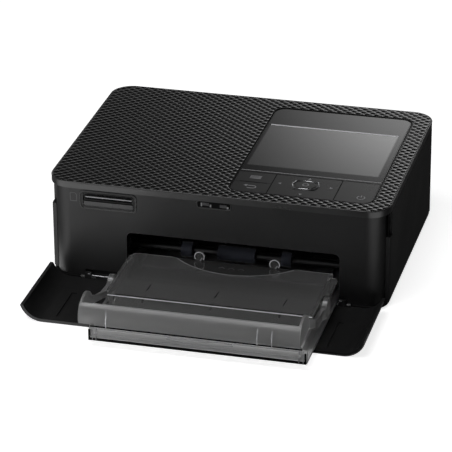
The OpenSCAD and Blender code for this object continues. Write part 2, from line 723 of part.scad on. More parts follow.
// Folded ear that carries the motor beside the gears
module motor_ear() {
  slice([motor_face - plate_t, motor_face]) difference() {
    translate(pinion_at - [9.5, 9.5]) square([19, board_z - 4 - pinion_at[1] + 9.5]);
    translate(pinion_at) circle(3);
  }
  block([motor_face - plate_t, chassis_l - plate_t], [pinion_at[0] - 9.5, pinion_at[0] + 9.5],
        [board_z - 5.2, board_z - 4]);
}

module chassis_right() color(steel) place() {
  slice([chassis_r, chassis_r + plate_t]) difference() {
    translate([chassis_y[0], floor_z])
      square([chassis_y[1] - chassis_y[0], chassis_top - floor_z]);
    plate_bores();
    ribbon_way(0.6);
  }
  for (y = [-40, 50])
    block([chassis_r + plate_t, chassis_r + 9], [y - 4, y + 4], [floor_z, floor_z + plate_t]);
}

// Outline of the ribbon cartridge as it slides in from the right
module ribbon_way(grow) {
  for (at = [supply_at, takeup_at]) translate(at) circle(tube_r + grow);
  translate([takeup_at[0] - grow, rail_z[0] - grow])
    square([supply_at[0] - takeup_at[0] + 2 * grow, rail_z[1] - rail_z[0] + 2 * grow]);
}

module upper_guide() color(black_plastic) place()
  block([chassis_l, chassis_r], [chassis_y[0] + 1, takeup_at[0] - tube_r - 3],
        [floor_z + 28, floor_z + 29.2]);

module lower_guide() color(black_plastic) place() {
  block([chassis_l, chassis_r], [pick_at[0] + 9, platen_at[0] - 9], [wall_top + 1.2, wall_top + 2.2]);
  for (x = [bay_x - 36 : 12 : bay_x + 36])
    block([x - 0.6, x + 0.6], [pick_at[0] + 10, platen_at[0] - 10], [wall_top + 2, wall_top + 3.4]);
}

module shaft_bushes() color("#3b3a36") place() for (at = [pick_at, platen_at, feed_at]) difference() {
  union() {
    rod([chassis_l - plate_t, chassis_l], at, bush_r);
    rod([chassis_l, chassis_l + 1.2], at, bush_r + 0.8);
    rod([chassis_r, chassis_r + plate_t], at, bush_r);
    rod([chassis_r - 1.2, chassis_r], at, bush_r + 0.8);
  }
  rod([chassis_l - 4, chassis_r + 4], at, bore_r);
}

// Fixed studs that the idler gears and the supply roll turn on
module plate_studs() color(steel) place() {
  for (at = [front_idler_at, middle_idler_at, feed_idler_at]) {
    rod([gear_x - 0.2, chassis_l], at, 1.5);
    rod([gear_x - 1, gear_x - 0.2], at, 2.4);
  }
  rod([chassis_l - plate_t, chassis_l + 6], supply_at, 2.5);
}

// ---- Shafts, rollers and gears ----

rail_z = [film_z + 0.25, film_z + 2.6];
ROLLERS = [[-31.65, -25.85], [-11.85, 8.25], [22.65, 27.95]];

module pick_shaft() color(steel) place() rod([gear_x - 0.6, chassis_r + 2.6], pick_at, shaft_r);

module pick_rollers() color(rubber_blue) place() for (r = ROLLERS) difference() {
  rod([bay_x + r[0], bay_x + r[1]], pick_at, pick_r);
  rod([bay_x + r[0] - over, bay_x + r[1] + over], pick_at, shaft_r);
}

module platen_shaft() color(steel) place() rod([gear_x - 0.6, chassis_r + 2.6], platen_at, shaft_r);

module platen_roller() color("#202226") place() difference() {
  rod([roll_l, roll_r], platen_at, platen_r);
  rod([roll_l - over, roll_r + over], platen_at, shaft_r);
}

module feed_roller() color(steel) place() {
  rod([gear_x - 0.6, chassis_r + 2.6], feed_at, shaft_r);
  rod([roll_l, roll_r], feed_at, feed_r);
}

module pinch_roller() color("#26282c") place() {
  rod([roll_l, roll_r], pinch_at, pinch_r);
  rod([chassis_l - plate_t - 0.4, chassis_r + plate_t + 0.4], pinch_at, 1.5);
}

// Gear with straight-sided teeth and a hub towards the side plate
module gear(at, teeth, turn, bore) across(gear_x, at) difference() {
  union() {
    rotate([0, 0, turn]) linear_extrude(gear_w) polygon(gear_points(teeth));
    cylinder(h = gear_w + 1.1, r = min(pitch_r(teeth) - 0.9, bore + 1.6));
  }
  translate([0, 0, -over]) cylinder(h = gear_w + 3, r = bore);
  if (pitch_r(teeth) > 7) translate([0, 0, gear_w - 0.8]) difference() {
    cylinder(h = over, r = pitch_r(teeth) - 2);
    translate([0, 0, -over]) cylinder(h = 3, r = bore + 2.4);
  }
}

// Four corners for each tooth: two at its root and two at its tip
TOOTH_TURN = [-0.29, -0.12, 0.12, 0.29];
TOOTH_RISE = [-1.15, 0.75, 0.75, -1.15];
function gear_points(teeth) = [for (i = [0 : teeth - 1]) for (k = [0 : 3])
  (pitch_r(teeth) + TOOTH_RISE[k] * gear_module) * way((i + TOOTH_TURN[k]) * 360 / teeth)];

module pick_gear() color(white_plastic) place() gear(pick_at, pick_teeth, pick_turn, shaft_r);
module platen_gear() color(white_plastic) place() gear(platen_at, platen_teeth, 0, shaft_r);
module feed_gear() color(white_plastic) place() gear(feed_at, feed_teeth, feed_turn, shaft_r);
module front_idler() color(white_plastic) place()
  gear(front_idler_at, pick_idler_teeth, front_idler_turn, 1.5 + run_gap);
module middle_idler() color(white_plastic) place()
  gear(middle_idler_at, pick_idler_teeth, middle_idler_turn, 1.5 + run_gap);
module feed_idler() color(white_plastic) place()
  gear(feed_idler_at, feed_idler_teeth, feed_idler_turn, 1.5 + run_gap);
module motor_pinion() color("#c8a24a") place() gear(pinion_at, pinion_teeth, pinion_turn, 1);

// Take-up gear with the spindle that turns the take-up spool
module takeup_gear() color(white_plastic) place() {
  gear(takeup_at, takeup_teeth, takeup_turn, 2.4);
  rod([gear_x, chassis_l + 6], takeup_at, 2.5);
}

// The motor takes up the room between its bracket and the side panel
motor_end = panel_t + 5.3 - side_x;
module drive_motor() color(steel) place() {
  rod([motor_end, motor_face - plate_t], pinion_at, 9);
  rod([motor_face - plate_t - 0.1, motor_face], pinion_at, 3);
  rod([motor_face - 0.1, gear_x + gear_w], pinion_at, 0.95);
  rod([motor_end - 2, motor_end], pinion_at, 3.5);
}

// ---- Print head ----

head_x = [roll_l - 1, roll_r + 1.5];

module thermal_head() color("#e4e0d2") place() slice(head_x) {
  translate([platen_at[0] - 1.4, film_z + 0.3]) square([2.8, 1.7]);
  translate([platen_at[0] - 3.5, film_z + 1.85]) square([7, 2.5]);
}

module heat_sink() color("#a9adb2") place() {
  slice(head_x) {
    translate([platen_at[0] - 7, film_z + 4.35]) square([13, 3]);
    for (i = [0:4]) translate([platen_at[0] - 7 + 2.8 * i, film_z + 7]) square([1.4, 11.3]);
  }
  for (x = [[head_x[0], head_x[0] + 1], [head_x[1] - 1, head_x[1]]]) slice(x)
    translate([platen_at[0] + 2, film_z + 4.35]) square([9, 4.5]);
  rod([chassis_l - plate_t - 0.3, head_x[0] + 1], head_pivot, 1.5);
  rod([head_x[1] - 1, chassis_r + plate_t + 0.3], head_pivot, 1.5);
}

// ---- Ribbon cartridge ----

ribbon_x = [bay_x - 56.75, bay_x + 57.25];
cap_t = 1.4;
nip_y = 2;
journal_r = 3.4;

// Slit that lets the film out of a tube, towards the print head
module film_slit(at, aim) translate(at) rotate(heading(at, aim))
  translate([tube_r / 2, -1.6]) square([tube_r, 3.2]);

module ribbon_shell() color("#e8e8e6") place() {
  tube(supply_at, [platen_at[0] + nip_y, film_z]);
  tube(takeup_at, [platen_at[0] - nip_y, film_z]);
  for (x = [[ribbon_x[0], ribbon_x[0] + cap_t], [ribbon_x[1] - cap_t, ribbon_x[1]]]) {
    slice(x) difference() {
      translate([takeup_at[0], rail_z[0]])
        square([supply_at[0] - takeup_at[0], rail_z[1] - rail_z[0]]);
      for (at = [supply_at, takeup_at]) translate(at) circle(journal_r + run_gap);
    }
    for (at = [supply_at, takeup_at]) slice(x) translate(at) difference() {
      circle(tube_r);
      circle(journal_r + run_gap);
    }
  }
  slice([ribbon_x[1] - 0.1, ribbon_x[1] + 2.4])
    translate([supply_at[0] - 6, supply_at[1] + 6.2]) square([12, 1.6]);
}

module tube(at, aim) slice([ribbon_x[0] + cap_t / 2, ribbon_x[1] - cap_t / 2]) difference() {
  translate(at) circle(tube_r);
  translate(at) circle(tube_r - tube_t);
  film_slit(at, aim);
}

module spool(at, roll_r_mm) difference() {
  union() {
    rod([ribbon_x[0] - 0.6, ribbon_x[1] + 0.4], at, journal_r);
    rod([roll_l, roll_r - 0.5], at, roll_r_mm);
  }
  rod([ribbon_x[0] - over, ribbon_x[0] + 8], at, 2.5 + run_gap);
}

module supply_spool() color("#5a2f2f") place() spool(supply_at, supply_r);
module takeup_spool() color("#2f4a5a") place() spool(takeup_at, takeup_r);

// Film from the supply tube under the print head to the take-up tube
module ribbon_film() color("#4a3550") place() slice([roll_l + 0.5, roll_r - 1]) {
  low = film_t / 2;
  film_run([platen_at[0] - nip_y, film_z + low], [platen_at[0] + nip_y, film_z + low]);
  film_run([platen_at[0] + nip_y, film_z + low], film_end(supply_at, [platen_at[0] + nip_y, film_z]));
  film_run([platen_at[0] - nip_y, film_z + low], film_end(takeup_at, [platen_at[0] - nip_y, film_z]));
}

function film_end(at, aim) = at + (tube_r - tube_t / 2) * way(heading(at, aim));

module film_run(a, b) translate(a) rotate(heading(a, b))
  translate([-0.02, -film_t / 2]) square([norm(b - a) + 0.04, film_t]);

// ---- Paper cassette ----

strip_z = tray_z + 6.8;
inner_l = tray_l + tray_t;
inner_r = wall_r - tray_t;
strip_back = -tray_front + 3.4;

module paper_tray() color(smoke_plastic, 0.6) place() {
  difference() {
    union() {
      block([tray_l, tray_r], [strip_back - 0.5, tray_back], [tray_z, tray_z + 1.2]);
      block([tray_l, inner_l], [strip_back - 0.5, tray_back], [tray_z, wall_top]);
      block([inner_r, wall_r], [strip_back - 0.5, tray_back], [tray_z, wall_top]);
      block([tray_r - tray_t, tray_r], [strip_back - 0.5, tray_back], [tray_z, tray_z + 1.6]);
      block([tray_l, wall_r], [tray_back - tray_t, tray_back], [tray_z, tray_z + 6.4]);
      slice([tray_l, tray_r]) front_lip();
      for (x = [[tray_l, inner_l], [inner_r, wall_r]]) slice(x) ear_post();
      lid_lugs();
    }
    translate([bay_x + 1.5, strip_back + 1.5, strip_z + 108.75]) rotate([90, 0, 0])
      cylinder(h = 4, r = 110, center = true, $fn = 240);
    for (x = [tray_l + 4, tray_r - 4.4]) block([x, x + 0.7], [-tray_front - over, -tray_front + 1],
      [tray_z - over, strip_z + over]);
    for (x = [tray_l + 3.4, tray_r - 4.4]) block([x, x + 1.2], [-tray_front - over, -tray_front + 1.6],
      [strip_z - 2.6, strip_z - 1.2]);
  }
  rod([tray_l - 3.2, tray_l + 0.5], ear_at, ear_pin_r);
  rod([wall_r - 0.5, tray_r - 0.1], ear_at, ear_pin_r);
}

// Rounded front edge of the cassette, drawn in depth and height
module front_lip() difference() {
  cornered([-tray_front, strip_back], [tray_z, strip_z], 1.2, 0.1, 0.8, 2.6);
  translate([-tray_front - over, tray_z + 1.9]) square([over + 0.5, 0.5]);
}

module ear_post() {
  translate([ear_at[0] - 3, wall_top - 1]) square([6, ear_at[1] + 1.6 - wall_top]);
  translate([ear_at[0], ear_at[1]]) circle(3);
}

module lid_lugs() for (x = [inner_l + 1.8, inner_r - 3.2]) difference() {
  block([x, x + 1.4], [lid_hinge[0] - 1.8, lid_hinge[0] + 2.4], [tray_z + 1, lid_hinge[1] + 2]);
  rod([x - over, x + 3], lid_hinge, lid_pin_r + run_gap);
}

plate_y = [-58, 38];
module lift_plate() color("#2a2a2c") place() {
  block([inner_l + 4, inner_r - 4], plate_y, [tray_z + 4, tray_z + 4.8]);
  for (x = [inner_l + 4, inner_r - 5]) block([x, x + 1], plate_y, [tray_z + 3, tray_z + 4.5]);
}

module lift_springs() color(steel) place() for (x = [bay_x - 30, bay_x + 30]) for (y = [-40, 20])
  translate([x, y, tray_z + 1.2]) difference() {
    cylinder(h = 2.7, r = 3.2);
    translate([0, 0, -over]) cylinder(h = 6, r = 2.4);
  }

tab_x = [bay_x - 18.65, bay_x + 21.85];
skirt_l = inner_l + 0.25;
skirt_r = inner_r - 0.25;

module tray_lid() color(smoke_plastic, 0.6) place() {
  difference() {
    translate([0, 0, lid_z - lid_t]) linear_extrude(lid_t)
      cornered([lid_l, lid_r], [-lid_front, -lid_back], 0.3, 0.3, 1.5, 1.5);
    translate([bay_x + 0.5, -lid_back + 32.2, lid_z - 0.3]) cylinder(h = 2, r = 46, $fn = 120);
  }
  translate([0, 0, lid_z - 1 - lid_t]) linear_extrude(lid_t + 0.4)
    cornered([tray_l, lid_l + 1.2], [-lid_front + 6, -lid_back - 1], 0.5, 0.3, 0.3, 3);
  translate([0, 0, lid_z - 1 - lid_t]) linear_extrude(lid_t + 0.4)
    cornered([lid_r - 1.2, tray_r - 0.1], [ear_at[0] + ear_r + 0.8, -lid_back - 3.5], 0.3, 1, 3.5, 0.3);
  for (x = [[skirt_l, skirt_l + 1], [skirt_r - 1, skirt_r]])
    block(x, [-lid_front, -lid_back - 4], [lid_hinge[1] - 1.8, lid_z - lid_t + 0.1]);
  block([skirt_l, skirt_r], [-lid_front, -lid_front + 1], [wall_top - 1, lid_z - lid_t + 0.1]);
  rod([skirt_l + 0.5, inner_l + 3.6], lid_hinge, lid_pin_r);
  rod([inner_r - 3.6, skirt_r - 0.5], lid_hinge, lid_pin_r);
  for (x = [bay_x - 36, bay_x, bay_x + 36]) slice([x - 0.4, x + 0.4])
    polygon([[-lid_front + 0.5, lid_z - 0.5], [-lid_front + 0.5, lid_z - 3], [-lid_front + 9, lid_z - 0.5]]);
  for (x = tab_x) half_tab(x);
}

// Clear half-round tab that stands on the back edge of the lid
module half_tab(x) translate([x, -lid_back, lid_z - 0.5]) rotate([90, 0, 0]) linear_extrude(1)
  intersection() {
    translate([0, 2.6]) circle(2.9);
    translate([-4, 0]) square(8);
  }

ear_l = [tray_l - 3.4, tray_l - 0.6];
ear_rt = [wall_r + 0.2, tray_r - 0.05];

module tray_cover() color(smoke_plastic, 0.6) place() difference() {
  union() {
    slice([cover_l, cover_r]) cover_section();
    for (x = [[cover_l, cover_l + cover_t], [cover_r - cover_t, cover_r]]) slice(x) cover_end();
    for (x = [bay_x - 47.5, bay_x + 31, bay_x + 38.5]) slice([x - 0.4, x + 0.4]) cover_rib();
    rod(ear_l, ear_at, ear_r);
    rod(ear_rt, ear_at, ear_r);
    left_arm();
    right_arm();
  }
  rod([ear_l[0] - over, ear_l[1] + over], ear_at, ear_pin_r + run_gap);
  rod([ear_rt[0] - over, ear_rt[1] + over], ear_at, ear_pin_r + run_gap);
}

bow_centre = centre_of(rim_at, bow_at, toe_at);
bow_r = norm(rim_at - bow_centre);
arch_centre = centre_of(rim_at, peak_at, heel_at);
arch_r = norm(peak_at - arch_centre);

// Curved front wall with its floor, drawn in depth and height
module cover_section() {
  intersection() {
    difference() {
      translate(bow_centre) circle(bow_r, $fn = 96);
      translate(bow_centre) circle(bow_r - cover_t, $fn = 96);
    }
    translate([bow_at[0] - over, cover_floor])
      square([rim_at[0] - bow_at[0] + over, rim_at[1] - cover_floor]);
  }
  translate([toe_at[0] + 0.3, cover_floor]) square([heel_at[0] - toe_at[0] - 0.3, cover_t]);
}

// Arched end wall
module cover_end() intersection() {
  translate(arch_centre) circle(arch_r, $fn = 96);
  union() {
    translate(bow_centre) circle(bow_r, $fn = 96);
    translate([bow_centre[0], cover_floor]) square([40, 40]);
  }
  translate([bow_at[0] - over, cover_floor]) square([heel_at[0] + 1 - bow_at[0] + over, 40]);
}

module cover_rib() intersection() {
  cover_end();
  difference() {
    translate(bow_centre) circle(bow_r - 0.5);
    translate(bow_centre) circle(bow_r - cover_t - 0.8);
  }
  translate([bow_at[0] - over, cover_floor]) square([5, rim_at[1] - cover_floor - 1.5]);
}

arm_foot = -lid_front - 1.2;
// Side view of an arm: low at the ear, rising to the arch
module arm_side(low) difference() {
  polygon([[ear_at[0], ear_at[1] - 3.4], [ear_at[0], ear_at[1] + 3.6], [-94, ear_at[1] + 2.2],
    [-101, ear_at[1] + 2], [-108, ear_at[1] + 3.6], [arm_foot - 3.4, heel_at[1]],
    [arm_foot - 6, heel_at[1] + 2], [arm_foot - 6, cover_floor], [arm_foot, cover_floor],
    [arm_foot + 6, low]]);
}

module left_arm() intersection() {
  slice([cover_l - over, tray_l - 0.6]) arm_side(cover_floor - 1.5);
  linear_extrude(case_h) polygon([[ear_l[0], ear_at[1] - 100], [ear_l[0], ear_at[0]], [ear_l[0], -93],
    [cover_l, arm_foot - 2.4], [cover_l, arm_foot - 6], [cover_l + cover_t, arm_foot - 6],
    [cover_l + cover_t, arm_foot - 2], [ear_l[1], -93], [ear_l[1], ear_at[0]]]);
}

module right_arm() intersection() {
  slice([cover_r - 3, tray_r]) arm_side(cover_floor - 4);
  linear_extrude(case_h) polygon([[ear_rt[0], ear_at[0]], [ear_rt[1], ear_at[0]], [ear_rt[1], -94],
    [ear_rt[0] + cover_t, -96], [ear_rt[0] + cover_t, arm_foot - 1.4], [cover_r, arm_foot - 3],
    [cover_r, arm_foot - 6], [cover_r - cover_t, arm_foot - 6], [cover_r - cover_t, arm_foot - 1],
    [ear_rt[0], arm_foot]]);
}

base_shell();
top_cover();
front_panel();
left_panel();
rear_panel();
ribbon_door();
front_flap();
hinge_pins();
rubber_feet();
case_screws();
panel_frame();
display_glass();
display_module();
menu_key();
back_key();
direction_pad();
ok_key();
power_key();
key_board();
key_switches();
main_board();
board_parts();
card_bezel();
card_socket();
power_inlet();
usb_socket();
flap_catch();
chassis_left();
chassis_right();
upper_guide();
lower_guide();
shaft_bushes();
plate_studs();
pick_shaft();
pick_rollers();
pick_gear();
platen_shaft();
platen_roller();
platen_gear();
feed_roller();
feed_gear();
pinch_roller();
thermal_head();
heat_sink();
drive_motor();
motor_pinion();
front_idler();
middle_idler();
feed_idler();
takeup_gear();
ribbon_shell();
supply_spool();
takeup_spool();
ribbon_film();
paper_tray();
lift_plate();
lift_springs();
tray_lid();
tray_cover();
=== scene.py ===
# %% [markdown]
# # A compact photo printer, dressed in Blender
# The solids come from the imported CAD model, in metres. This script gives them their finishes and adds what
# is too fine for the solids: the skin of the top, the signs on the keys, the contacts in the card slot.

# %% Load the frame
import math
import bpy
import bmesh
from mathutils import Vector, Matrix


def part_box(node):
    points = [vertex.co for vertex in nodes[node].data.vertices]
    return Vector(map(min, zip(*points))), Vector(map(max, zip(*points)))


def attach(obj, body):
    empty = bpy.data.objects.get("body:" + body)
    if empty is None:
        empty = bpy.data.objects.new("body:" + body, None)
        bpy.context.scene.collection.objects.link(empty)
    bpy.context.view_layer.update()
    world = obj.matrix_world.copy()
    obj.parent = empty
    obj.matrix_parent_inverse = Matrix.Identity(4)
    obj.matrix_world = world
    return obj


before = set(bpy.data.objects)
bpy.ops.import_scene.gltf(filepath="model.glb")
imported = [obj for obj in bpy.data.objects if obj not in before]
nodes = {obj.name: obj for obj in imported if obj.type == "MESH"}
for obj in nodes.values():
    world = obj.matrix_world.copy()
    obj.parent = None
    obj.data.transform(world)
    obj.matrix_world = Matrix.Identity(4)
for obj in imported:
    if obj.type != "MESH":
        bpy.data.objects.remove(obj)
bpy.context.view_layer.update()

# %% [markdown]
# The places and sizes of pieces are in millimetres, measured from the middle of the case on the table,
# which is how a printer is measured. The frame's own zero lies further forward, under the middle of
# printer, flap and cassette together, so one helper turns a case point into a frame point in metres. A
# second links a new object.

# %% Case millimetres to frame metres
MM = 0.001
CASE_BACK = 35.25        # the case's middle lies this far behind the frame's zero


def case_point(x, y, z):
    return Vector((x * MM, (y + CASE_BACK) * MM, z * MM))


def add_object(name, data):
    """A new object for some data, linked to the scene."""
    thing = bpy.data.objects.new(name, data)
    bpy.context.scene.collection.objects.link(thing)
    return thing


print("front left corner of the case:", case_point(-91.1, -66.5, 0))

# %% [markdown]
# A catalogue photograph of a small machine is taken from far off with a long lens, so that its edges stay
# nearly parallel. The camera stands 1.5 m away, 25 degrees above the table and 15 degrees round to the
# right, and a 225 mm lens fills the frame. It is aimed by building its three axes, with a very slight roll.

# %% Camera
AZIMUTH, ELEVATION, ROLL = (math.radians(a) for a in (14.575, 25.40, -0.40))
DISTANCE, LENS, SENSOR = 1529.0, 225.4, 36.0
AIM_RIGHT, AIM_UP, AIM_HEIGHT = -10.66, -17.02, 28.8


def make_camera():
    away = Vector((math.sin(AZIMUTH) * math.cos(ELEVATION), -math.cos(AZIMUTH) * math.cos(ELEVATION),
                   math.sin(ELEVATION)))
    level = Vector((math.cos(AZIMUTH), math.sin(AZIMUTH), 0))
    upward = away.cross(level)
    right = level * math.cos(ROLL) + upward * math.sin(ROLL)
    up = upward * math.cos(ROLL) - level * math.sin(ROLL)
    aim = Vector((0, 0, AIM_HEIGHT)) + right * AIM_RIGHT + up * AIM_UP
    data = bpy.data.cameras.new("catalogue_camera")
    data.lens, data.sensor_width, data.sensor_fit = LENS, SENSOR, "HORIZONTAL"
    data.clip_start, data.clip_end = 0.1, 20
    camera = add_object("catalogue_camera", data)
    turn = Matrix((right, up, away)).transposed().to_4x4()
    camera.matrix_world = Matrix.Translation(case_point(*(aim + away * DISTANCE))) @ turn
    bpy.context.scene.camera = camera
    return camera


camera = make_camera()
print("camera at", [round(v, 3) for v in camera.location])

# %% [markdown]
# Every finish here is a small node tree. Short helpers add a node and fill its inputs, add a sum, a noise
# or a ramp, and mix two colours, so that a material reads as a list of what it is made of. An input takes a
# socket, which is linked, or a plain value.

# %% Node helpers
def feed(tree, node, inputs):
    """Fills the named inputs of a node: a socket is linked, anything else is its plain value."""
    for name, source in inputs.items():
        if isinstance(source, bpy.types.NodeSocket):
            tree.links.new(source, node.inputs[name])
        else:
            node.inputs[name].default_value = source


def add_node(tree, kind, inputs=None, **settings):
    node = tree.nodes.new(kind)
    for name, value in settings.items():
        setattr(node, name, value)
    feed(tree, node, inputs or {})
    return node


def calc(tree, operation, a, b=None, clamp=False):
    """One Math node; a and b are sockets or numbers."""
    inputs = {0: a} if b is None else {0: a, 1: b}
    return add_node(tree, "ShaderNodeMath", inputs, operation=operation, use_clamp=clamp).outputs[0]


def ramp(tree, source, start, end, low=0.0, high=1.0, kind="LINEAR"):
    """A value that goes from low at start to high at end."""
    inputs = {"Value": source, "From Min": start, "From Max": end, "To Min": low, "To Max": high}
    return add_node(tree, "ShaderNodeMapRange", inputs, interpolation_type=kind).outputs["Result"]


def smooth_ramp(tree, source, start, end, low=0.0, high=1.0):
    return ramp(tree, source, start, end, low, high, "SMOOTHSTEP")


def noise(tree, place, scale, detail, roughness=0.5):
    inputs = {"Vector": place, "Scale": scale, "Detail": detail, "Roughness": roughness}
    return add_node(tree, "ShaderNodeTexNoise", inputs).outputs["Fac"]


def mix_colour(tree, factor, first, second):
    inputs = {"Factor": factor, "A": first, "B": second}
    return add_node(tree, "ShaderNodeMix", inputs, data_type="RGBA").outputs["Result"]


def mix_value(tree, factor, first, second):
    inputs = {"Factor": factor, "A": first, "B": second}
    return add_node(tree, "ShaderNodeMix", inputs, data_type="FLOAT").outputs[0]


def object_place(tree):
    """The place on the piece, in its own coordinates."""
    return tree.nodes.new("ShaderNodeTexCoord").outputs["Object"]


def stretched(tree, place, scale):
    return add_node(tree, "ShaderNodeMapping", {"Vector": place, "Scale": scale}).outputs["Vector"]


def split_xyz(tree, vector):
    parts = add_node(tree, "ShaderNodeSeparateXYZ", {"Vector": vector}).outputs
    return parts["X"], parts["Y"], parts["Z"]


def new_group(name, inputs, outputs):
    """A shader node group with named sockets; inputs and outputs are (name, kind, default)."""
    tree = bpy.data.node_groups.new(name, "ShaderNodeTree")
    for label, kind, default in inputs:
        socket = tree.interface.new_socket(label, in_out="INPUT", socket_type=kind)
        socket.default_value = default
    for label, kind in outputs:
        tree.interface.new_socket(label, in_out="OUTPUT", socket_type=kind)
    return tree, tree.nodes.new("NodeGroupInput"), tree.nodes.new("NodeGroupOutput")


FLOAT, COLOUR = "NodeSocketFloat", "NodeSocketColor"
print("node helpers ready")

# %% [markdown]
# Moulded black plastic is never one flat black. The mould is spark eroded, which leaves a fine pebbled
# grain, and handling polishes it in broad soft patches. One group makes both: a fine height for the bump,
# and a roughness that drifts slowly over the surface.

# %% Shader group: moulded grain
def make_grain_group():
    tree, given, out = new_group(
        "moulded_grain",
        [("Grain Size", FLOAT, 0.0004), ("Roughness", FLOAT, 0.5), ("Drift", FLOAT, 0.06)],
        [("Height", FLOAT), ("Roughness", FLOAT)])
    place = object_place(tree)
    size, rough, drift = (given.outputs[name] for name in ("Grain Size", "Roughness", "Drift"))
    patches = noise(tree, place, 28.0, 3.0)
    drifting = ramp(tree, patches, 0.35, 0.65, calc(tree, "SUBTRACT", rough, drift),
                    calc(tree, "ADD", rough, drift))
    feed(tree, out, {"Height": noise(tree, place, calc(tree, "DIVIDE", 1.0, size), 2.0, 0.55),
                     "Roughness": drifting})
    return tree


grain_group = make_grain_group()
print("group:", grain_group.name)

# %% [markdown]
# A printer that has stood on a desk carries a trace of dust on what faces up, and its colour is never quite
# even. The second group mixes a paler dust colour into the base colour by the surface's own upward tilt and
# a patchy noise.

# %% Shader group: settled dust
def make_dust_group():
    tree, given, out = new_group(
        "settled_dust",
        [("Colour", COLOUR, (0.02, 0.02, 0.02, 1)), ("Dust", COLOUR, (0.12, 0.118, 0.112, 1)),
         ("Amount", FLOAT, 0.1)],
        [("Colour", COLOUR)])
    tilt = split_xyz(tree, tree.nodes.new("ShaderNodeNewGeometry").outputs["Normal"])[2]
    upward = ramp(tree, tilt, 0.2, 1.0)
    patchy = ramp(tree, noise(tree, object_place(tree), 240.0, 4.0, 0.7), 0.38, 0.72)
    weight = calc(tree, "MULTIPLY", calc(tree, "MULTIPLY", upward, patchy), given.outputs["Amount"])
    feed(tree, out, {"Colour": mix_colour(tree, weight, given.outputs["Colour"], given.outputs["Dust"])})
    return tree


dust_group = make_dust_group()
print("group:", dust_group.name)

# %% [markdown]
# The plastics differ only in how black, how rough and how coarse they are. One function builds the material
# from the two groups, and each finish of the printer is one row of a table: its name, its grey level or its
# colour, its roughness, the size and depth of its grain in metres, its dust, how far its roughness drifts,
# and any other values of the shader.

# %% Plastics
PLAIN_DRIFT = 0.05
SPECULAR = "Specular IOR Level"
finish = {}


def grey(level):
    return (level, level, level * 1.04, 1.0)


def new_material(name):
    material = bpy.data.materials.new(name)
    material.use_nodes = True
    tree = material.node_tree
    tree.nodes.clear()
    shader = tree.nodes.new("ShaderNodeBsdfPrincipled")
    add_node(tree, "ShaderNodeOutputMaterial", {"Surface": shader.outputs["BSDF"]})
    return material, tree, shader


def plastic(name, colour, roughness, grain_size, grain_depth, dust, drift=PLAIN_DRIFT, others=None):
    material, tree, shader = new_material(name)
    moulded = {"Grain Size": grain_size, "Roughness": roughness, "Drift": drift}
    grain = add_node(tree, "ShaderNodeGroup", moulded, node_tree=grain_group)
    dusty = add_node(tree, "ShaderNodeGroup", {"Colour": colour, "Amount": dust}, node_tree=dust_group)
    bump = add_node(tree, "ShaderNodeBump",
                    {"Strength": 0.6, "Distance": grain_depth, "Height": grain.outputs["Height"]})
    feed(tree, shader, {"Base Color": dusty.outputs["Colour"], "Roughness": grain.outputs["Roughness"],
                        "Normal": bump.outputs["Normal"], **(others or {})})
    return material


def make_plastics(rows):
    """Adds one plastic finish for each row and returns their names."""
    for name, colour, *rest in rows:
        finish[name] = plastic(name, colour if isinstance(colour, tuple) else grey(colour), *rest)
    return ", ".join(row[0] for row in rows)


print("plastics:", make_plastics([
    ("case_black", 0.0080, 0.44, 0.00035, 0.00003, 0.03),
    ("skin_black", 0.0055, 0.20, 0.0003, 0.00001, 0.03, 0.03),
    ("plate_grey", 0.14, 0.42, 0.0004, 0.00001, 0.05),
    ("inner_black", 0.0045, 0.50, 0.0005, 0.00004, 0.04),
    ("panel_black", 0.0045, 0.22, 0.0003, 0.000005, 0.02, 0.02),
    ("key_black", 0.0050, 0.30, 0.0003, 0.00001, 0.02, 0.03, {SPECULAR: 0.35}),
    ("gear_white", 0.60, 0.45, 0.0006, 0.00002, 0.1),
    ("bush_black", 0.04, 0.5, 0.0004, 0.00002, 0.05),
    ("cartridge_grey", 0.30, 0.5, 0.0005, 0.00003, 0.1),
    ("chip_black", 0.02, 0.55, 0.0002, 0.00002, 0.1),
    # Some of the pale and grey finishes below also paint light: glints, highlights on edges and a lit sill.
    ("contact_and_glint_pale", 0.42, 0.35, 0.0002, 0.000005, 0.0),
    ("painted_light_grey", 0.035, 0.28, 0.0002, 0.000005, 0.02),
    ("line_white", 0.85, 0.35, 0.0002, 0.000005, 0.0),
    ("sign_and_highlight_grey", 0.30, 0.45, 0.0002, 0.000005, 0.0),
    ("mark_grey", 0.07, 0.45, 0.0002, 0.000005, 0.0),
]))

# %% [markdown]
# The rollers and feet are moulded rubber: a little paler than the case and not glossy, the rollers with a
# slight blue cast, and ground round after moulding, which leaves a fine tooth. A sheen stands for the light
# that such a surface scatters at a grazing angle.

# %% Rubber
print("rubber:", make_plastics([
    ("roller_rubber", (0.040, 0.045, 0.065, 1), 0.72, 0.00025, 0.00005, 0.15, PLAIN_DRIFT,
     {"Sheen Weight": 0.25, "Sheen Roughness": 0.4}),
    ("foot_rubber", 0.03, 0.8, 0.0003, 0.00005, 0.1, PLAIN_DRIFT, {"Sheen Weight": 0.2}),
]))

# %% [markdown]
# The side plates are folded from rolled steel sheet and the shafts are ground. Rolling leaves fine straight
# lines, so the noise that drives roughness and bump is stretched along one axis. Metal takes its colour
# from its base colour, with no dust on the bright parts.

# %% Metals
STREAK_SCALE, STREAK_DEPTH = 2400.0, 0.000004


def darker(colour, share):
    return tuple(c * share for c in colour[:3]) + (1,)


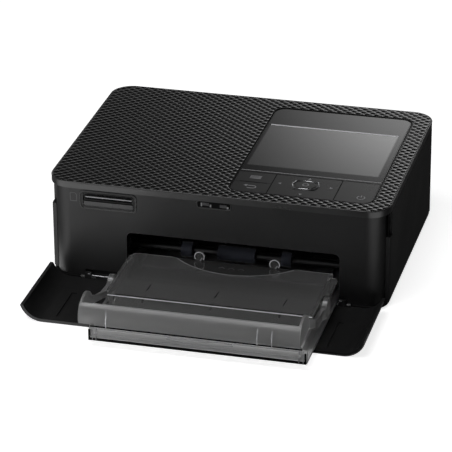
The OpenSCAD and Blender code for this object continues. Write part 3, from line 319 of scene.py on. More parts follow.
def metal(name, colour, roughness, stretch):
    material, tree, shader = new_material(name)
    place = object_place(tree)
    streaks = noise(tree, stretched(tree, place, stretch), STREAK_SCALE, 3.0)
    stains = noise(tree, place, 60.0, 3.0)
    bump = add_node(tree, "ShaderNodeBump", {"Strength": 0.5, "Distance": STREAK_DEPTH, "Height": streaks})
    feed(tree, shader, {
        "Base Color": mix_colour(tree, stains, colour, darker(colour, 0.8)),
        "Roughness": ramp(tree, calc(tree, "MULTIPLY", streaks, stains), 0.1, 0.5, roughness * 0.75,
                          roughness * 1.3),
        "Normal": bump.outputs["Normal"], "Metallic": 1.0})
    return material


METALS = [("rolled_steel", grey(0.55), 0.30, (1, 0.04, 1)), ("ground_steel", grey(0.62), 0.22, (0.04, 1, 1)),
          ("blued_steel", grey(0.07), 0.46, (0.04, 1, 1)), ("spring_steel", grey(0.50), 0.25, (1, 1, 0.2)),
          ("cast_aluminium", grey(0.66), 0.38, (0.1, 1, 1)),
          ("turned_brass", (0.75, 0.56, 0.26, 1), 0.25, (0.1, 1, 1))]
for row in METALS:
    finish[row[0]] = metal(*row)
print("metals:", len(METALS))

# %% [markdown]
# The cassette is moulded in clear plastic with a grey dye. Light crosses each wall twice, so its colour is
# a tint of what passes rather than of what bounces off. Transmission with the real refractive index gives
# the bright rims and the dark bottom of the photograph. The lid is smooth, so what lies under it shows. The
# tray and the outer cover are rougher, a satin that blurs what is behind them.

# %% Smoke-tinted clear plastic
def clear_plastic(name, level, roughness, transmission, scuff):
    material, tree, shader = new_material(name)
    place = object_place(tree)
    scuffs = noise(tree, stretched(tree, place, (1.0, 0.12, 1.0)), 900.0, 4.0, 0.65)
    clouds = noise(tree, place, 35.0, 3.0)
    tint = (level, level, level, 1)
    feed(tree, shader, {
        "Base Color": mix_colour(tree, clouds, tint, darker(tint, 0.88)),
        "Roughness": ramp(tree, calc(tree, "MULTIPLY", scuffs, clouds), 0.15, 0.4, roughness * (1 - scuff),
                          roughness * (1 + scuff)),
        "IOR": 1.50, "Transmission Weight": transmission})
    return material


CLEAR = [("smoke", 0.56, 0.12, 0.90, 0.25), ("cover_smoke", 0.56, 0.36, 0.89, 0.10),
         ("crescent_film", 0.16, 0.10, 0.80, 0.2)]
for row in CLEAR:
    finish[row[0]] = clear_plastic(*row)
# A pale grey for the painted highlights on the cassette's edges.
make_plastics([("painted_highlight_grey", 0.34, 0.20, 0.0003, 0.000005, 0.0, 0.02)])
print("clear plastics:", len(CLEAR), "and their bright edge")

# %% [markdown]
# The window over the display is black gloss. Where the picture area lies behind it, light bounces twice:
# once off the window and once off the panel below. A coat over that area alone gives the second bounce, so
# the picture area mirrors the room more strongly than its border, with the soft edge of the real one.

# %% Window over the display
SCREEN = {"left": 6.2, "right": 77.4, "front": -23.0, "back": 31.2}
EDGE_OUTSIDE, EDGE_INSIDE = 0.3, 0.9


def screen_window(name, level, roughness):
    material, tree, shader = new_material(name)
    x, y, _ = split_xyz(tree, object_place(tree))
    inside = 1.0
    for source, edge, side in ((x, SCREEN["left"] * MM, 1), (x, SCREEN["right"] * MM, -1),
                               (y, (SCREEN["front"] + CASE_BACK) * MM, 1),
                               (y, (SCREEN["back"] + CASE_BACK) * MM, -1)):
        inside = calc(tree, "MULTIPLY", inside, smooth_ramp(tree, source, edge - side * EDGE_OUTSIDE * MM,
                                                            edge + side * EDGE_INSIDE * MM))
    feed(tree, shader, {"Base Color": mix_colour(tree, inside, grey(level), grey(level * 3)),
                        "Roughness": roughness, "Coat Weight": inside, "Coat Roughness": roughness * 1.5,
                        "Coat IOR": 1.70})
    return material


finish["window"] = screen_window("window", 0.004, 0.12)
print("window:", finish["window"].name)

# %% [markdown]
# Behind the window the display is a dark grey panel. Circuit boards are green lacquer over copper, the print
# head is a fired ceramic strip, and the ribbon is a thin glossy film on two rolls. Gaps, recesses and other
# places in deep shade get painted shade: a black that mirrors almost nothing.

# %% Display panel, rim, boards, ceramic, film and painted shade
print("inner finishes:", make_plastics([
    ("display_off", 0.020, 0.22, 0.0006, 0.000002, 0.0, 0.01, {SPECULAR: 0.8}),
    ("rim_black", 0.008, 0.30, 0.0003, 0.00001, 0.03, 0.03, {SPECULAR: 0.8}),
    ("board_green", (0.02, 0.12, 0.05, 1), 0.30, 0.0008, 0.00001, 0.15),
    ("fired_ceramic", (0.80, 0.77, 0.69, 1), 0.35, 0.0003, 0.00001, 0.05),
    ("ink_film", (0.05, 0.022, 0.06, 1), 0.16, 0.0012, 0.00001, 0.0, 0.03),
    # Painted shade: the black laid into gaps, recesses and shaded strips.
    ("painted_shade_black", 0.004, 0.7, 0.0005, 0.00003, 0.0, PLAIN_DRIFT, {SPECULAR: 0.1}),
]))

# %% [markdown]
# Each CAD node now gets its finish. The CAD meshes are kept as they are, so only their material slots
# change.

# %% Dress the CAD nodes
worn_by = {
    "case_black": "base_shell front_panel left_panel rear_panel ribbon_door front_flap card_bezel",
    "rim_black": "top_cover",
    "inner_black": "flap_catch upper_guide lower_guide power_inlet",
    "plate_grey": "lift_plate",
    "panel_black": "panel_frame",
    "key_black": "menu_key back_key direction_pad ok_key power_key",
    "window": "display_glass",
    "display_off": "display_module",
    "roller_rubber": "pick_rollers platen_roller pinch_roller",
    "foot_rubber": "rubber_feet",
    "rolled_steel": "chassis_left chassis_right drive_motor card_socket usb_socket",
    "ground_steel": "hinge_pins case_screws plate_studs platen_shaft feed_roller",
    "blued_steel": "pick_shaft",
    "spring_steel": "lift_springs",
    "cast_aluminium": "heat_sink",
    "turned_brass": "motor_pinion",
    "fired_ceramic": "thermal_head",
    "gear_white": "pick_gear platen_gear feed_gear front_idler middle_idler feed_idler takeup_gear "
                  "key_switches",
    "bush_black": "shaft_bushes",
    "cartridge_grey": "ribbon_shell",
    "ink_film": "ribbon_film supply_spool takeup_spool",
    "board_green": "main_board key_board",
    "chip_black": "board_parts",
    "smoke": "tray_lid",
    "cover_smoke": "tray_cover paper_tray",
}


def dress(mesh, label):
    mesh.materials.clear()
    mesh.materials.append(finish[label])


for label, names in worn_by.items():
    for name in names.split():
        dress(nodes[name].data, label)
bare = sorted(set(nodes) - {n for names in worn_by.values() for n in names.split()})
print("dressed:", len(nodes) - len(bare), "nodes, bare:", bare)

# %% [markdown]
# The top is covered with a skin of low rounded diamonds in a staggered pattern, 5.2 mm apart across and 4.3
# mm from front to back. It stops short of the rim, which stays smooth, and of the control panel. The
# pattern follows a rule, so Geometry Nodes make it: a fine grid is lifted by the square root of the product
# of two slanting waves, which gives the bumps broad tops, and faded out towards both borders. Its hollows
# lie just under the flat of the cover, so only the diamonds show.

# %% Geometry Nodes helpers
def rounded_box_distance(tree, x, y, half_x, half_y, radius):
    """How far inside a rounded rectangle a point lies, as a socket; negative outside it."""
    deep_x = calc(tree, "SUBTRACT", calc(tree, "ABSOLUTE", x), half_x - radius)
    deep_y = calc(tree, "SUBTRACT", calc(tree, "ABSOLUTE", y), half_y - radius)
    over_x, over_y = (calc(tree, "MAXIMUM", deep, 0.0) for deep in (deep_x, deep_y))
    corner = calc(tree, "SQRT", calc(tree, "ADD", calc(tree, "MULTIPLY", over_x, over_x),
                                     calc(tree, "MULTIPLY", over_y, over_y)))
    inner = calc(tree, "MINIMUM", calc(tree, "MAXIMUM", deep_x, deep_y), 0.0)
    return calc(tree, "SUBTRACT", radius, calc(tree, "ADD", corner, inner))


def tree_inputs(tree, sizes):
    """Named float inputs for a Geometry Nodes tree, and its group input and output nodes."""
    for label in sizes:
        tree.interface.new_socket(label, in_out="INPUT", socket_type=FLOAT)
    tree.interface.new_socket("Geometry", in_out="OUTPUT", socket_type="NodeSocketGeometry")
    return tree.nodes.new("NodeGroupInput"), tree.nodes.new("NodeGroupOutput")


def bake(source):
    """An object with its modifiers and bevels applied, as a plain mesh; the object itself is removed."""
    bpy.context.view_layer.update()
    mesh = bpy.data.meshes.new_from_object(source.evaluated_get(bpy.context.evaluated_depsgraph_get()))
    bpy.data.objects.remove(source)
    return mesh


def grow(name, tree, sizes):
    """Runs a Geometry Nodes tree on an empty mesh and returns its result as a plain mesh object."""
    seed = add_object(name + "_seed", bpy.data.meshes.new(name + "_seed"))
    modifier = seed.modifiers.new("grow", "NODES")
    modifier.node_group = tree
    for item in tree.interface.items_tree:
        if item.in_out == "INPUT" and item.name in sizes:
            modifier[item.identifier] = sizes[item.name]
    grown = bake(seed)
    grown.name = name
    return add_object(name, grown)


print("geometry helpers ready")

# %% [markdown]
# The grid covers the whole top, and the parts outside the case and under the control panel are deleted. The
# open sheet that is left gets a short skirt and a flat bottom, so that the piece is a closed solid.

# %% Skin of the top
CASE_HALF_W, CASE_HALF_D, CASE_CORNER = 91.1, 66.5, 12.0
TOP_Z = 57.6
SMOOTH_RIM, PANEL_MARGIN, FADE = 0.5, 0.3, 0.45
PANEL = {"left": 4.4, "right": 80.8, "front": -57.0, "back": 55.0, "corner": 6.0}
PANEL_MIDDLE = ((PANEL["left"] + PANEL["right"]) / 2, (PANEL["front"] + PANEL["back"]) / 2)
PANEL_HALF = ((PANEL["right"] - PANEL["left"]) / 2, (PANEL["back"] - PANEL["front"]) / 2)
skin_sizes = {"Across": 5.21 * MM, "Deep": 4.26 * MM, "Height": 0.36 * MM, "Sunk": 0.03 * MM}


def make_skin_tree():
    tree = bpy.data.node_groups.new("diamond_skin", "GeometryNodeTree")
    given, out = tree_inputs(tree, skin_sizes)
    grid = add_node(tree, "GeometryNodeMeshGrid", {"Size X": 2 * CASE_HALF_W * MM,
                                                   "Size Y": 2 * CASE_HALF_D * MM,
                                                   "Vertices X": 340, "Vertices Y": 296})
    x, y, _ = split_xyz(tree, tree.nodes.new("GeometryNodeInputPosition").outputs[0])
    rim = rounded_box_distance(tree, x, y, (CASE_HALF_W - SMOOTH_RIM) * MM, (CASE_HALF_D - SMOOTH_RIM) * MM,
                               (CASE_CORNER - SMOOTH_RIM) * MM)
    from_middle = [calc(tree, "SUBTRACT", along, middle * MM) for along, middle in zip((x, y), PANEL_MIDDLE)]
    reach = [half * MM + PANEL_MARGIN * MM for half in PANEL_HALF]
    panel = rounded_box_distance(tree, *from_middle, *reach, PANEL["corner"] * MM)
    room = calc(tree, "MINIMUM", rim, calc(tree, "MULTIPLY", panel, -1.0))
    fade = calc(tree, "DIVIDE", room, FADE * MM, clamp=True)
    turns_x = calc(tree, "DIVIDE", x, given.outputs["Across"])
    turns_y = calc(tree, "DIVIDE", y, given.outputs["Deep"])
    waves = []
    for join in ("ADD", "SUBTRACT"):
        angle = calc(tree, "MULTIPLY", calc(tree, join, turns_x, turns_y), 2 * math.pi)
        waves.append(calc(tree, "ADD", calc(tree, "MULTIPLY", calc(tree, "COSINE", angle), 0.5), 0.5))
    diamonds = calc(tree, "POWER", calc(tree, "MULTIPLY", *waves), 0.5)
    lift = calc(tree, "MULTIPLY", calc(tree, "MULTIPLY", diamonds, fade), given.outputs["Height"])
    height = calc(tree, "SUBTRACT", lift, given.outputs["Sunk"])
    offset = add_node(tree, "ShaderNodeCombineXYZ", {"Z": height})
    step = grid.outputs["Mesh"]
    for kind, inputs in (
            ("SetPosition", {"Offset": offset.outputs[0]}),
            ("DeleteGeometry", {"Selection": calc(tree, "LESS_THAN", room, -0.2 * MM)}),
            ("SetShadeSmooth", {}), ("RealizeInstances", {}),
            ("SetMaterial", {"Material": finish["skin_black"]})):
        step = add_node(tree, "GeometryNode" + kind, {"Geometry": step, **inputs}).outputs[0]
    feed(tree, out, {"Geometry": step})
    return tree


def close_below(piece, thickness):
    """Closes an open sheet with a short skirt and a flat bottom of few faces."""
    shape = bmesh.new()
    shape.from_mesh(piece.data)
    border = [edge for edge in shape.edges if edge.is_boundary]
    skirt = bmesh.ops.extrude_edge_only(shape, edges=border)["geom"]
    low = min(vertex.co.z for vertex in shape.verts) - thickness
    for part in skirt:
        if isinstance(part, bmesh.types.BMVert):
            part.co.z = low
    rim = [edge for edge in shape.edges if edge.is_boundary]
    bmesh.ops.triangle_fill(shape, edges=rim, use_beauty=False)
    bmesh.ops.recalc_face_normals(shape, faces=shape.faces)
    shape.to_mesh(piece.data)
    shape.free()


top_skin = grow("top_skin", make_skin_tree(), skin_sizes)
top_skin.data.transform(Matrix.Translation(case_point(0, 0, TOP_Z)))
close_below(top_skin, 0.2 * MM)
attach(top_skin, "case")
print("top skin:", len(top_skin.data.polygons), "faces")

# %% [markdown]
# The long edge between the top and its band is rounded, and it draws a thin bright line round the whole top.
# A rounded bead that follows the case outline, sunk into the edge, makes that line. A second, black bead
# fills the narrow gap round the control panel: painted shade in that gap.

# %% Rounded edge of the top, and painted shade round the panel
def rounded_outline(half_x, half_y, corner, steps=10, middle=(0.0, 0.0)):
    """Points of a rounded rectangle round a middle, in millimetres."""
    points = []
    for turn, (side_x, side_y) in enumerate([(1, 1), (-1, 1), (-1, -1), (1, -1)]):
        for step in range(steps + 1):
            angle = math.radians(90 * (turn + step / steps))
            points.append((middle[0] + (side_x * (half_x - corner) + corner * math.cos(angle)),
                           middle[1] + (side_y * (half_y - corner) + corner * math.sin(angle))))
    return points


def add_piece(name, mesh, material, body="case", smooth=True):
    """Names a mesh, gives it its finish and lets it ride on a body."""
    mesh.name = name
    dress(mesh, material)
    if smooth:
        mesh.shade_smooth()
    piece = add_object(name, mesh)
    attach(piece, body)
    return piece


def bead(name, points, z, radius, material, body="case", closed=True):
    """A round bead along a path of (x, y) or (x, y, z) points in case millimetres, as a mesh."""
    curve = bpy.data.curves.new(name, "CURVE")
    curve.dimensions, curve.bevel_depth, curve.bevel_resolution = "3D", radius * MM, 2
    curve.use_fill_caps = not closed
    line = curve.splines.new("POLY")
    line.points.add(len(points) - 1)
    for point, spot in zip(line.points, points):
        point.co = (*case_point(spot[0], spot[1], spot[2] if len(spot) > 2 else z), 1)
    line.use_cyclic_u = closed
    return add_piece(name, bake(add_object(name + "_path", curve)), material, body)


edge_bead = bead("top_edge", rounded_outline(CASE_HALF_W - 0.3, CASE_HALF_D - 0.3, CASE_CORNER - 0.3),
                 TOP_Z - 0.28, 0.42, "rim_black")
panel_ring = rounded_outline(PANEL_HALF[0] + 0.2, PANEL_HALF[1] + 0.2, PANEL["corner"] + 0.2,
                             middle=PANEL_MIDDLE)
# A black bead of painted shade in the gap round the control panel.
panel_gap_shade = bead("panel_gap_shade", panel_ring, TOP_Z - 0.15, 0.34, "painted_shade_black")
print("top edge and panel gap:", len(edge_bead.data.polygons) + len(panel_gap_shade.data.polygons), "faces")

# %% [markdown]
# The control panel is read by its thin lines and small signs. They are flat outlines a twentieth of a
# millimetre thick, and one function cuts all such flat pieces.

# %% Flat printed shapes
KEY_TOP = 57.4
INK = 0.05


def slab(name, outlines, z, material, body="case", thick=INK, flip=None):
    """Flat pieces with straight sides, cut from outlines of (x, y) points in case millimetres. A flip turns
    such a point and its height into a case point, for pieces that stand upright."""
    shape = bmesh.new()
    for outline in outlines:
        corners = [shape.verts.new((x, y, 0)) for x, y in outline]
        face = shape.faces.new(corners)
        raised = bmesh.ops.extrude_face_region(shape, geom=[face])["geom"]
        for part in raised:
            if isinstance(part, bmesh.types.BMVert):
                part.co.z = thick
    bmesh.ops.recalc_face_normals(shape, faces=shape.faces)
    for vertex in shape.verts:
        x, y, high = vertex.co
        vertex.co = case_point(x, y, z + high) if flip is None else case_point(*flip(x, y, high))
    bmesh.ops.recalc_face_normals(shape, faces=shape.faces)
    mesh = bpy.data.meshes.new(name)
    shape.to_mesh(mesh)
    shape.free()
    return add_piece(name, mesh, material, body, smooth=False)


def bar(x, y):
    """Outline of an upright rectangle between two x and two y limits."""
    return [(x[0], y[0]), (x[1], y[0]), (x[1], y[1]), (x[0], y[1])]


def stroke(points, width):
    """Outlines of a line of given width through points, one four-sided outline for each stretch."""
    outlines = []
    for (x0, y0), (x1, y1) in zip(points, points[1:]):
        long = math.hypot(x1 - x0, y1 - y0)
        nx, ny = (y0 - y1) / long * width / 2, (x1 - x0) / long * width / 2
        outlines.append([(x0 + nx, y0 + ny), (x1 + nx, y1 + ny), (x1 - nx, y1 - ny), (x0 - nx, y0 - ny)])
    return outlines


def arc(centre, radius, start, end, steps=14):
    """Points on an arc, with angles in degrees."""
    return [(centre[0] + radius * math.cos(math.radians(start + (end - start) * step / steps)),
             centre[1] + radius * math.sin(math.radians(start + (end - start) * step / steps)))
            for step in range(steps + 1)]


print("shape helpers ready")

# %% [markdown]
# A bright strip closes the back of the picture area. A fine lip ends the window, and its grey is a painted
# highlight on that edge. Dark grooves part the keys from each other and from the window; their black is
# painted shade.

# %% Lines of the panel
KEYS = {"front": -56.4, "back": -31.8, "split": -44.1, "menu": 15.05}
PAD = {"left": 25.1, "right": 60.3, "middle": (42.65, -41.7)}
grooves = [bar((PAD["left"] - 0.35, PAD["left"] + 0.15), (KEYS["front"], KEYS["back"])),
           bar((PAD["right"] - 0.15, PAD["right"] + 0.35), (KEYS["front"], KEYS["back"])),
           bar((8.0, 22.4), (KEYS["split"] - 0.25, KEYS["split"] + 0.25)), bar((5.0, 80.2), (-31.7, -31.2))]
panel_lines = [
    slab("picture_edge", [bar((6.6, 77.2), (31.0, 32.2))], KEY_TOP, "line_white"),
    # The grey of the window's lip is a painted highlight; the same grey prints the signs on the keys.
    slab("window_lip_highlight", [bar((5.3, 80.0), (-30.0, -29.4))], KEY_TOP, "sign_and_highlight_grey"),
    # Painted shade in the grooves between the keys.
    slab("key_grooves", grooves, KEY_TOP, "painted_shade_black"),
]
print("panel lines:", len(panel_lines))

# %% [markdown]
# The signs are printed in grey: three bars for the menu, a bent arrow for back, a ring for the middle key,
# small arrowheads for the four directions and the usual circle and stroke for power. A bright rim with six
# corners runs round the middle key.

# %% Signs on the keys
POWER_AT, POWER_R = (73.7, -50.2), 2.0
ARROW_R = 1.1
RIM_HALF = 4.8


def sign(name, outlines, key, z=KEY_TOP):
    return slab(name, outlines, z, "sign_and_highlight_grey", key)


menu_bars = [bar((KEYS["menu"] - 3.0, KEYS["menu"] + 3.0), (y - 0.3, y + 0.3)) for y in (-39.3, -37.9, -36.5)]
back_path = [(12.6, -48.6)] + arc((16.4, -50.1), 1.5, 90, -90) + [(13.4, -51.6)]
back_head = [(12.9, -47.3), (12.9, -49.9), (11.2, -48.6)]
power_bar = bar((POWER_AT[0] - 0.25, POWER_AT[0] + 0.25), (POWER_AT[1] + 0.5, POWER_AT[1] + 2.7))
arrows = []
for x, y, turn in ((29.1, -42.3, 180), (43.2, -33.9, 90), (56.2, -42.3, 0), (42.3, -53.2, 270)):
    angles = [math.radians(turn + corner) for corner in (0, 120, 240)]
    arrows.append([(x + ARROW_R * math.cos(angle), y + ARROW_R * math.sin(angle)) for angle in angles])
hexagon = [(PAD["middle"][0] + x * RIM_HALF, PAD["middle"][1] + y * RIM_HALF)
           for x, y in ((-1.5, 0), (-1.15, 1), (1.15, 1), (1.5, 0), (1.15, -1), (-1.15, -1))]
signs = [
    sign("menu_sign", menu_bars, "menu"),
    sign("back_sign", stroke(back_path, 0.55) + [back_head], "back"),
    sign("middle_sign", stroke(arc(PAD["middle"], 1.5, 0, 360, 18), 0.5), "ok", KEY_TOP + 0.2),
    sign("power_sign", stroke(arc(POWER_AT, POWER_R, 125, 415, 20), 0.5) + [power_bar], "power"),
    sign("pad_signs", arrows, "pad"),
    bead("middle_rim", hexagon, KEY_TOP + 0.05, 0.36, "ground_steel", "ok"),
]
print("signs:", ", ".join(piece.name for piece in signs))

# %% [markdown]
# The front carries small things: the rounded frame of the card slot with its contacts, the outline of a
# card beside it, and the catch that holds the flap when it is shut. Frames are round beads in black gloss,
# so that their lower halves catch the pale floor and their upper halves stay dark, as in the photograph.
# Flat plates paint shade on the slot's roof and under the contacts, and the sill gets a paler grey, painted
# light on its lit chamfer. The catch's hole is a plate of painted shade with small pale glints, painted
# highlights, and a dark plate of painted shade closes the finger notch of the ribbon door.

# %% Card slot, card mark, flap catch and finger notch
FRONT = -64.3
DOOR_FACE = 89.5
CARD = {"x": (-73.1, -42.7), "z": (42.2, 52.2), "mouth": (-70.5, -45.3)}
CATCH = {"x": (-9.9, 8.3), "z": (49.3, 53.4)}


def front_frame(name, x, z, corner, radius, material):
    """A round bead along a rounded rectangle on the front face."""
    middle = ((x[0] + x[1]) / 2, (z[0] + z[1]) / 2)
    ring = rounded_outline((x[1] - x[0]) / 2, (z[1] - z[0]) / 2, corner, 6, middle)
    return bead(name, [(px, FRONT, pz) for px, pz in ring], 0.0, radius, material)


def front_slab(name, outlines, material, thick=INK, sunk=0.0):
    """Flat pieces on the front face, cut from outlines of (x, z) points; sunk sets them into it."""
    return slab(name, outlines, 0, material, thick=thick,
                flip=lambda x, z, high: (x, FRONT + sunk - high, z))


def inset(limits, by):
    return limits[0] + by, limits[1] - by


card_corner = [(-78.6, 50.4), (-76.0, 50.4), (-75.1, 49.4), (-75.1, 45.8), (-78.6, 45.8), (-78.6, 50.4)]
catch_outline = rounded_outline(8.8, 1.75, 1.4, 6, (sum(CATCH["x"]) / 2, sum(CATCH["z"]) / 2))
tongues = [bar((-7.4, -3.4), (50.9, 52.5)), bar((2.4, 6.0), (50.5, 52.1))]
glints = [bar((-7.7, -7.1), (50.4, 52.3)), bar((6.2, 7.0), (50.2, 51.2)), bar((-2.9, -2.2), (50.3, 51.6))]
front_pieces = [
    front_frame("slot_frame", CARD["x"], CARD["z"], 2.4, 0.42, "rim_black"),
    front_frame("slot_lip", inset(CARD["x"], 1.4), inset(CARD["z"], 1.3), 1.6, 0.30, "panel_black"),
    front_slab("slot_contacts", [bar(CARD["mouth"], (48.3, 48.9))], "contact_and_glint_pale", 0.4, 0.9),
    # Painted shade under the contacts and on the slot's roof; the sill's paler grey is painted light on its
    # lit chamfer.
    front_slab("slot_shade", [bar(CARD["mouth"], (47.3, 48.0))], "painted_shade_black", 0.4, 0.5),
    front_slab("slot_roof", [bar(CARD["mouth"], (49.3, 50.2))], "painted_shade_black"),
    front_slab("slot_sill", [bar((-71.2, -44.6), (43.9, 46.3))], "painted_light_grey"),
    front_slab("card_mark", stroke(card_corner, 0.4), "mark_grey"),
    front_frame("catch_frame", CATCH["x"], CATCH["z"], 1.6, 0.38, "rim_black"),
    # The catch's hole is painted shade and its glints are painted highlights.
    front_slab("catch_hole", [catch_outline], "painted_shade_black", 0.12),
    front_slab("catch_tongues", tongues, "mark_grey", 0.4),
    front_slab("catch_glints", glints, "contact_and_glint_pale", 0.5),
    # The dark plate in the finger notch is painted shade.
    slab("finger_notch", [bar((-57.35, -52.7), (39.8, 53.9))], 0, "painted_shade_black", "door",
         thick=0.3, flip=lambda y, z, high: (DOOR_FACE + high, y, z)),
]
print("front pieces:", len(front_pieces))

# %% [markdown]
# Moulded edges of clear plastic are where light gathers, so they read as bright threads. The cassette gets a
# pale bead on each such edge, a painted highlight: the ledge of its lid, the rims and cores of the two
# half-round tabs, the ribs and the top line in the bulge of its cover, the lines and ends of its front strip,
# and the ripple and edge of the finger grip. Two short beads are painted glints at the cover's pivots. The
# last is dark: painted shade for the shadow over the front strip.

# %% Painted highlights on the edges of the cassette
LID_Z, LID_FRONT, LID_BACK = 16.8, -110.0, -59.5
TABS = (-9.9, 30.6)
RIBS = (-38.75, 39.75, 47.25)
BOW = [(-132.3, 22.3), (-136.1, 15.2), (-135.6, 9.6)]
STRIP = {"x": (-46.4, 62.6), "y": -137.0, "z": (4.4, 10.6)}
threads = []


def thread(name, points, radius, body, material="painted_highlight_grey"):
    """A thin pale bead through (x, y, z) points in case millimetres: a painted highlight, or painted shade in
    a dark finish.
    """
    threads.append(bead(name, points, 0.0, radius, material, body, closed=False))


def level_thread(name, x, y, z, radius, body, material="painted_highlight_grey"):
    """A thread that runs straight across between two x limits."""
    thread(name, [(x[0], y, z), (x[1], y, z)], radius, body, material)


def circle_through(a, b, c):
    """Centre and radius of the circle through three points of a plane."""
    ax, ay, bx, by = b[0] - a[0], b[1] - a[1], c[0] - a[0], c[1] - a[1]
    cross = 2 * (ax * by - ay * bx)
    px = (by * (ax * ax + ay * ay) - ay * (bx * bx + by * by)) / cross
    py = (ax * (bx * bx + by * by) - bx * (ax * ax + ay * ay)) / cross
    return (a[0] + px, a[1] + py), math.hypot(px, py)


bow_centre, bow_radius = circle_through(*BOW)


def bow_points(x, low, high, steps=10):
    """Points on the outside of the cover's bulge between two heights."""
    heights = [low + (high - low) * step / steps for step in range(steps + 1)]
    return [(x, bow_centre[0] - math.sqrt(max(bow_radius ** 2 - (z - bow_centre[1]) ** 2, 0.0)), z)
            for z in heights]


# White beads are painted highlights on the lid's ledge, the tabs' rims, the cover's ribs and its pivots.
level_thread("lid_ledge", (-45.6, 62.0), LID_FRONT, LID_Z - 0.1, 0.24, "lid", "line_white")
for label, x in zip(("left", "right"), TABS):
    arch = [(px, LID_BACK - 1.0, pz) for px, pz in arc((x, LID_Z + 2.1), 2.6, 215, -35, 16)]
    thread("tab_rim_" + label, arch, 0.27, "lid", "line_white")
    thread("tab_core_" + label, [(x + 0.5, LID_BACK - 1.1, LID_Z), (x + 1.7, LID_BACK - 1.1, LID_Z + 1.6)],
           0.4, "lid")
for number, x in enumerate(RIBS):
    thread(f"cover_thread_{number}", bow_points(x, 11.6, 19.6), 0.24, "cover", "line_white")
level_thread("cover_top_line", (-53.0, 61.2), BOW[0][0] + 0.2, BOW[0][1], 0.20, "cover")
for label, z, y in (("high", STRIP["z"][1], STRIP["y"] + 1.0), ("middle", 7.6, STRIP["y"] - 0.05)):
    level_thread("strip_line_" + label, STRIP["x"], y, z, 0.20, "cassette")
for label, x in (("left_a", -45.6), ("left_b", -43.8), ("right_a", 61.4), ("right_b", 63.6)):
    thread("strip_end_" + label, [(x, STRIP["y"], 4.6), (x, STRIP["y"], 9.0), (x, STRIP["y"] + 1.6, 10.6)],
           0.24, "cassette")
ripple = [(-6.5 + 0.5 * n, STRIP["y"] + 0.75, 10.35 - 0.6 * math.sin(n / 7.0) * math.cos(n / 15.0))
          for n in range(68)]
thread("grip_ripple", ripple, 0.26, "cassette")
grip_edge = [(-7.0 + 0.5 * n, STRIP["y"] + 0.2, 9.6 - 1.4 * math.sin(math.pi * n / 69)) for n in range(70)]
thread("grip_edge", grip_edge, 0.18, "cassette")
for label, x in (("left", (-50.9, -48.4)), ("right", (62.8, 65.0))):
    level_thread("pivot_glint_" + label, x, -88.6, 14.7, 0.5, "cover", "line_white")
level_thread("strip_shadow", (STRIP["x"][0] - 1.0, STRIP["x"][1]), STRIP["y"] + 2.2, 11.0, 0.4, "cassette",
             "painted_shade_black")
print("threads:", len(threads))

# %% [markdown]
# A crescent is sunk into the back of the lid. It is smooth and dark, its front edge is a fine bright line, a
# painted highlight, and three plain chevrons show which way the cassette goes in. Dark strips on the lid
# stand for the shadows of its stiffening ribs and of the gap before its front wall.

# %% Crescent, chevrons and shadow lines of the lid
CRESCENT = {"middle": (9.2, -29.4), "radius": 44.0}
RIB_SHADES = (-27.25, 8.75, 44.75)
crescent_edge = arc(CRESCENT["middle"], CRESCENT["radius"], 223.4, 316.6, 40)
crescent = slab("lid_crescent", [crescent_edge], LID_Z - 0.28, "crescent_film", "lid")
bead("crescent_line", crescent_edge, LID_Z - 0.1, 0.16, "painted_highlight_grey", "lid", closed=False)
chevrons = []
for x in (3.6, 8.8, 14.0):
    chevrons += stroke([(x - 1.7, -66.6), (x, -64.9), (x + 1.7, -66.6)], 0.5)
slab("lid_chevrons", chevrons, LID_Z - 0.23, "mark_grey", "lid")
shades = [[(x - 0.25, -101.0), (x + 0.25, -101.0), (x + 0.6, -93.5), (x + 0.3, -93.5)] for x in RIB_SHADES]
shades.append(bar((-42.0, 59.0), (LID_FRONT + 1.2, LID_FRONT + 1.7)))
slab("lid_shades", shades, LID_Z, "painted_shade_black", "lid", thick=0.03)
print("crescent:", len(crescent.data.polygons), "faces")

# %% [markdown]
# The foot of the front strip is a dark line over the pale floor, and both of its ends are dark caps: painted
# shade on its lower edge and on its shaded ends. They are thin plates on the front of the strip.

# %% Painted shade on the foot and caps of the front strip
foot_bars = [bar((-47.4, 64.9), (4.2, 5.7)), bar((-47.8, -46.7), (4.2, 10.4)), bar((64.2, 65.2), (4.2, 10.4))]
strip_foot = slab("strip_foot", foot_bars, 0, "painted_shade_black", "cassette", thick=0.15,
                  flip=lambda x, z, high: (x, STRIP["y"] - high, z))
print("strip foot:", len(strip_foot.data.polygons), "faces")

# %% [markdown]
# The flap turns on two short pins. A bright rod shows beside the left one, with a dark gap over it, a plate
# of painted shade, and there is a bright knuckle on each side. A dark bead under both front corners of the
# case is painted shade for the shaded gap there: it hides the pale floor that would show between case and
# flap. Its path keeps clear of the flap.

# %% Flap hinge and the case's lower front corners
HINGE_Y, HINGE_Z = -66.4, 4.2
CORNER_SHADE_Z, CORNER_SHADE_RADIUS = 1.9, 1.0
CORNER_SHADE_PATH = [(-89.6, -46.0), (-89.6, -54.5), (-89.2, -57.2), (-88.2, -59.7), (-86.5, -61.9), (-84.3, -63.5),
             (-81.7, -64.0), (-79.1, -64.0), (-76.0, -64.0), (-73.0, -64.0)]
hinge = [bead("hinge_rod", [(-67.2, HINGE_Y, HINGE_Z), (-52.8, HINGE_Y, HINGE_Z - 0.3)], 0.0, 0.32,
              "rolled_steel", closed=False)]
for side, x in (("left", -69.6), ("right", 66.2)):
    knuckle = [(x, HINGE_Y + 0.6, HINGE_Z + 0.6), (x + 1.5, HINGE_Y + 0.6, HINGE_Z + 0.6)]
    hinge.append(bead("hinge_knuckle_" + side, knuckle, 0.0, 0.9, "ground_steel", closed=False))
hinge.append(front_slab("rod_gap", [bar((-67.2, -52.6), (4.8, 6.6))], "painted_shade_black"))
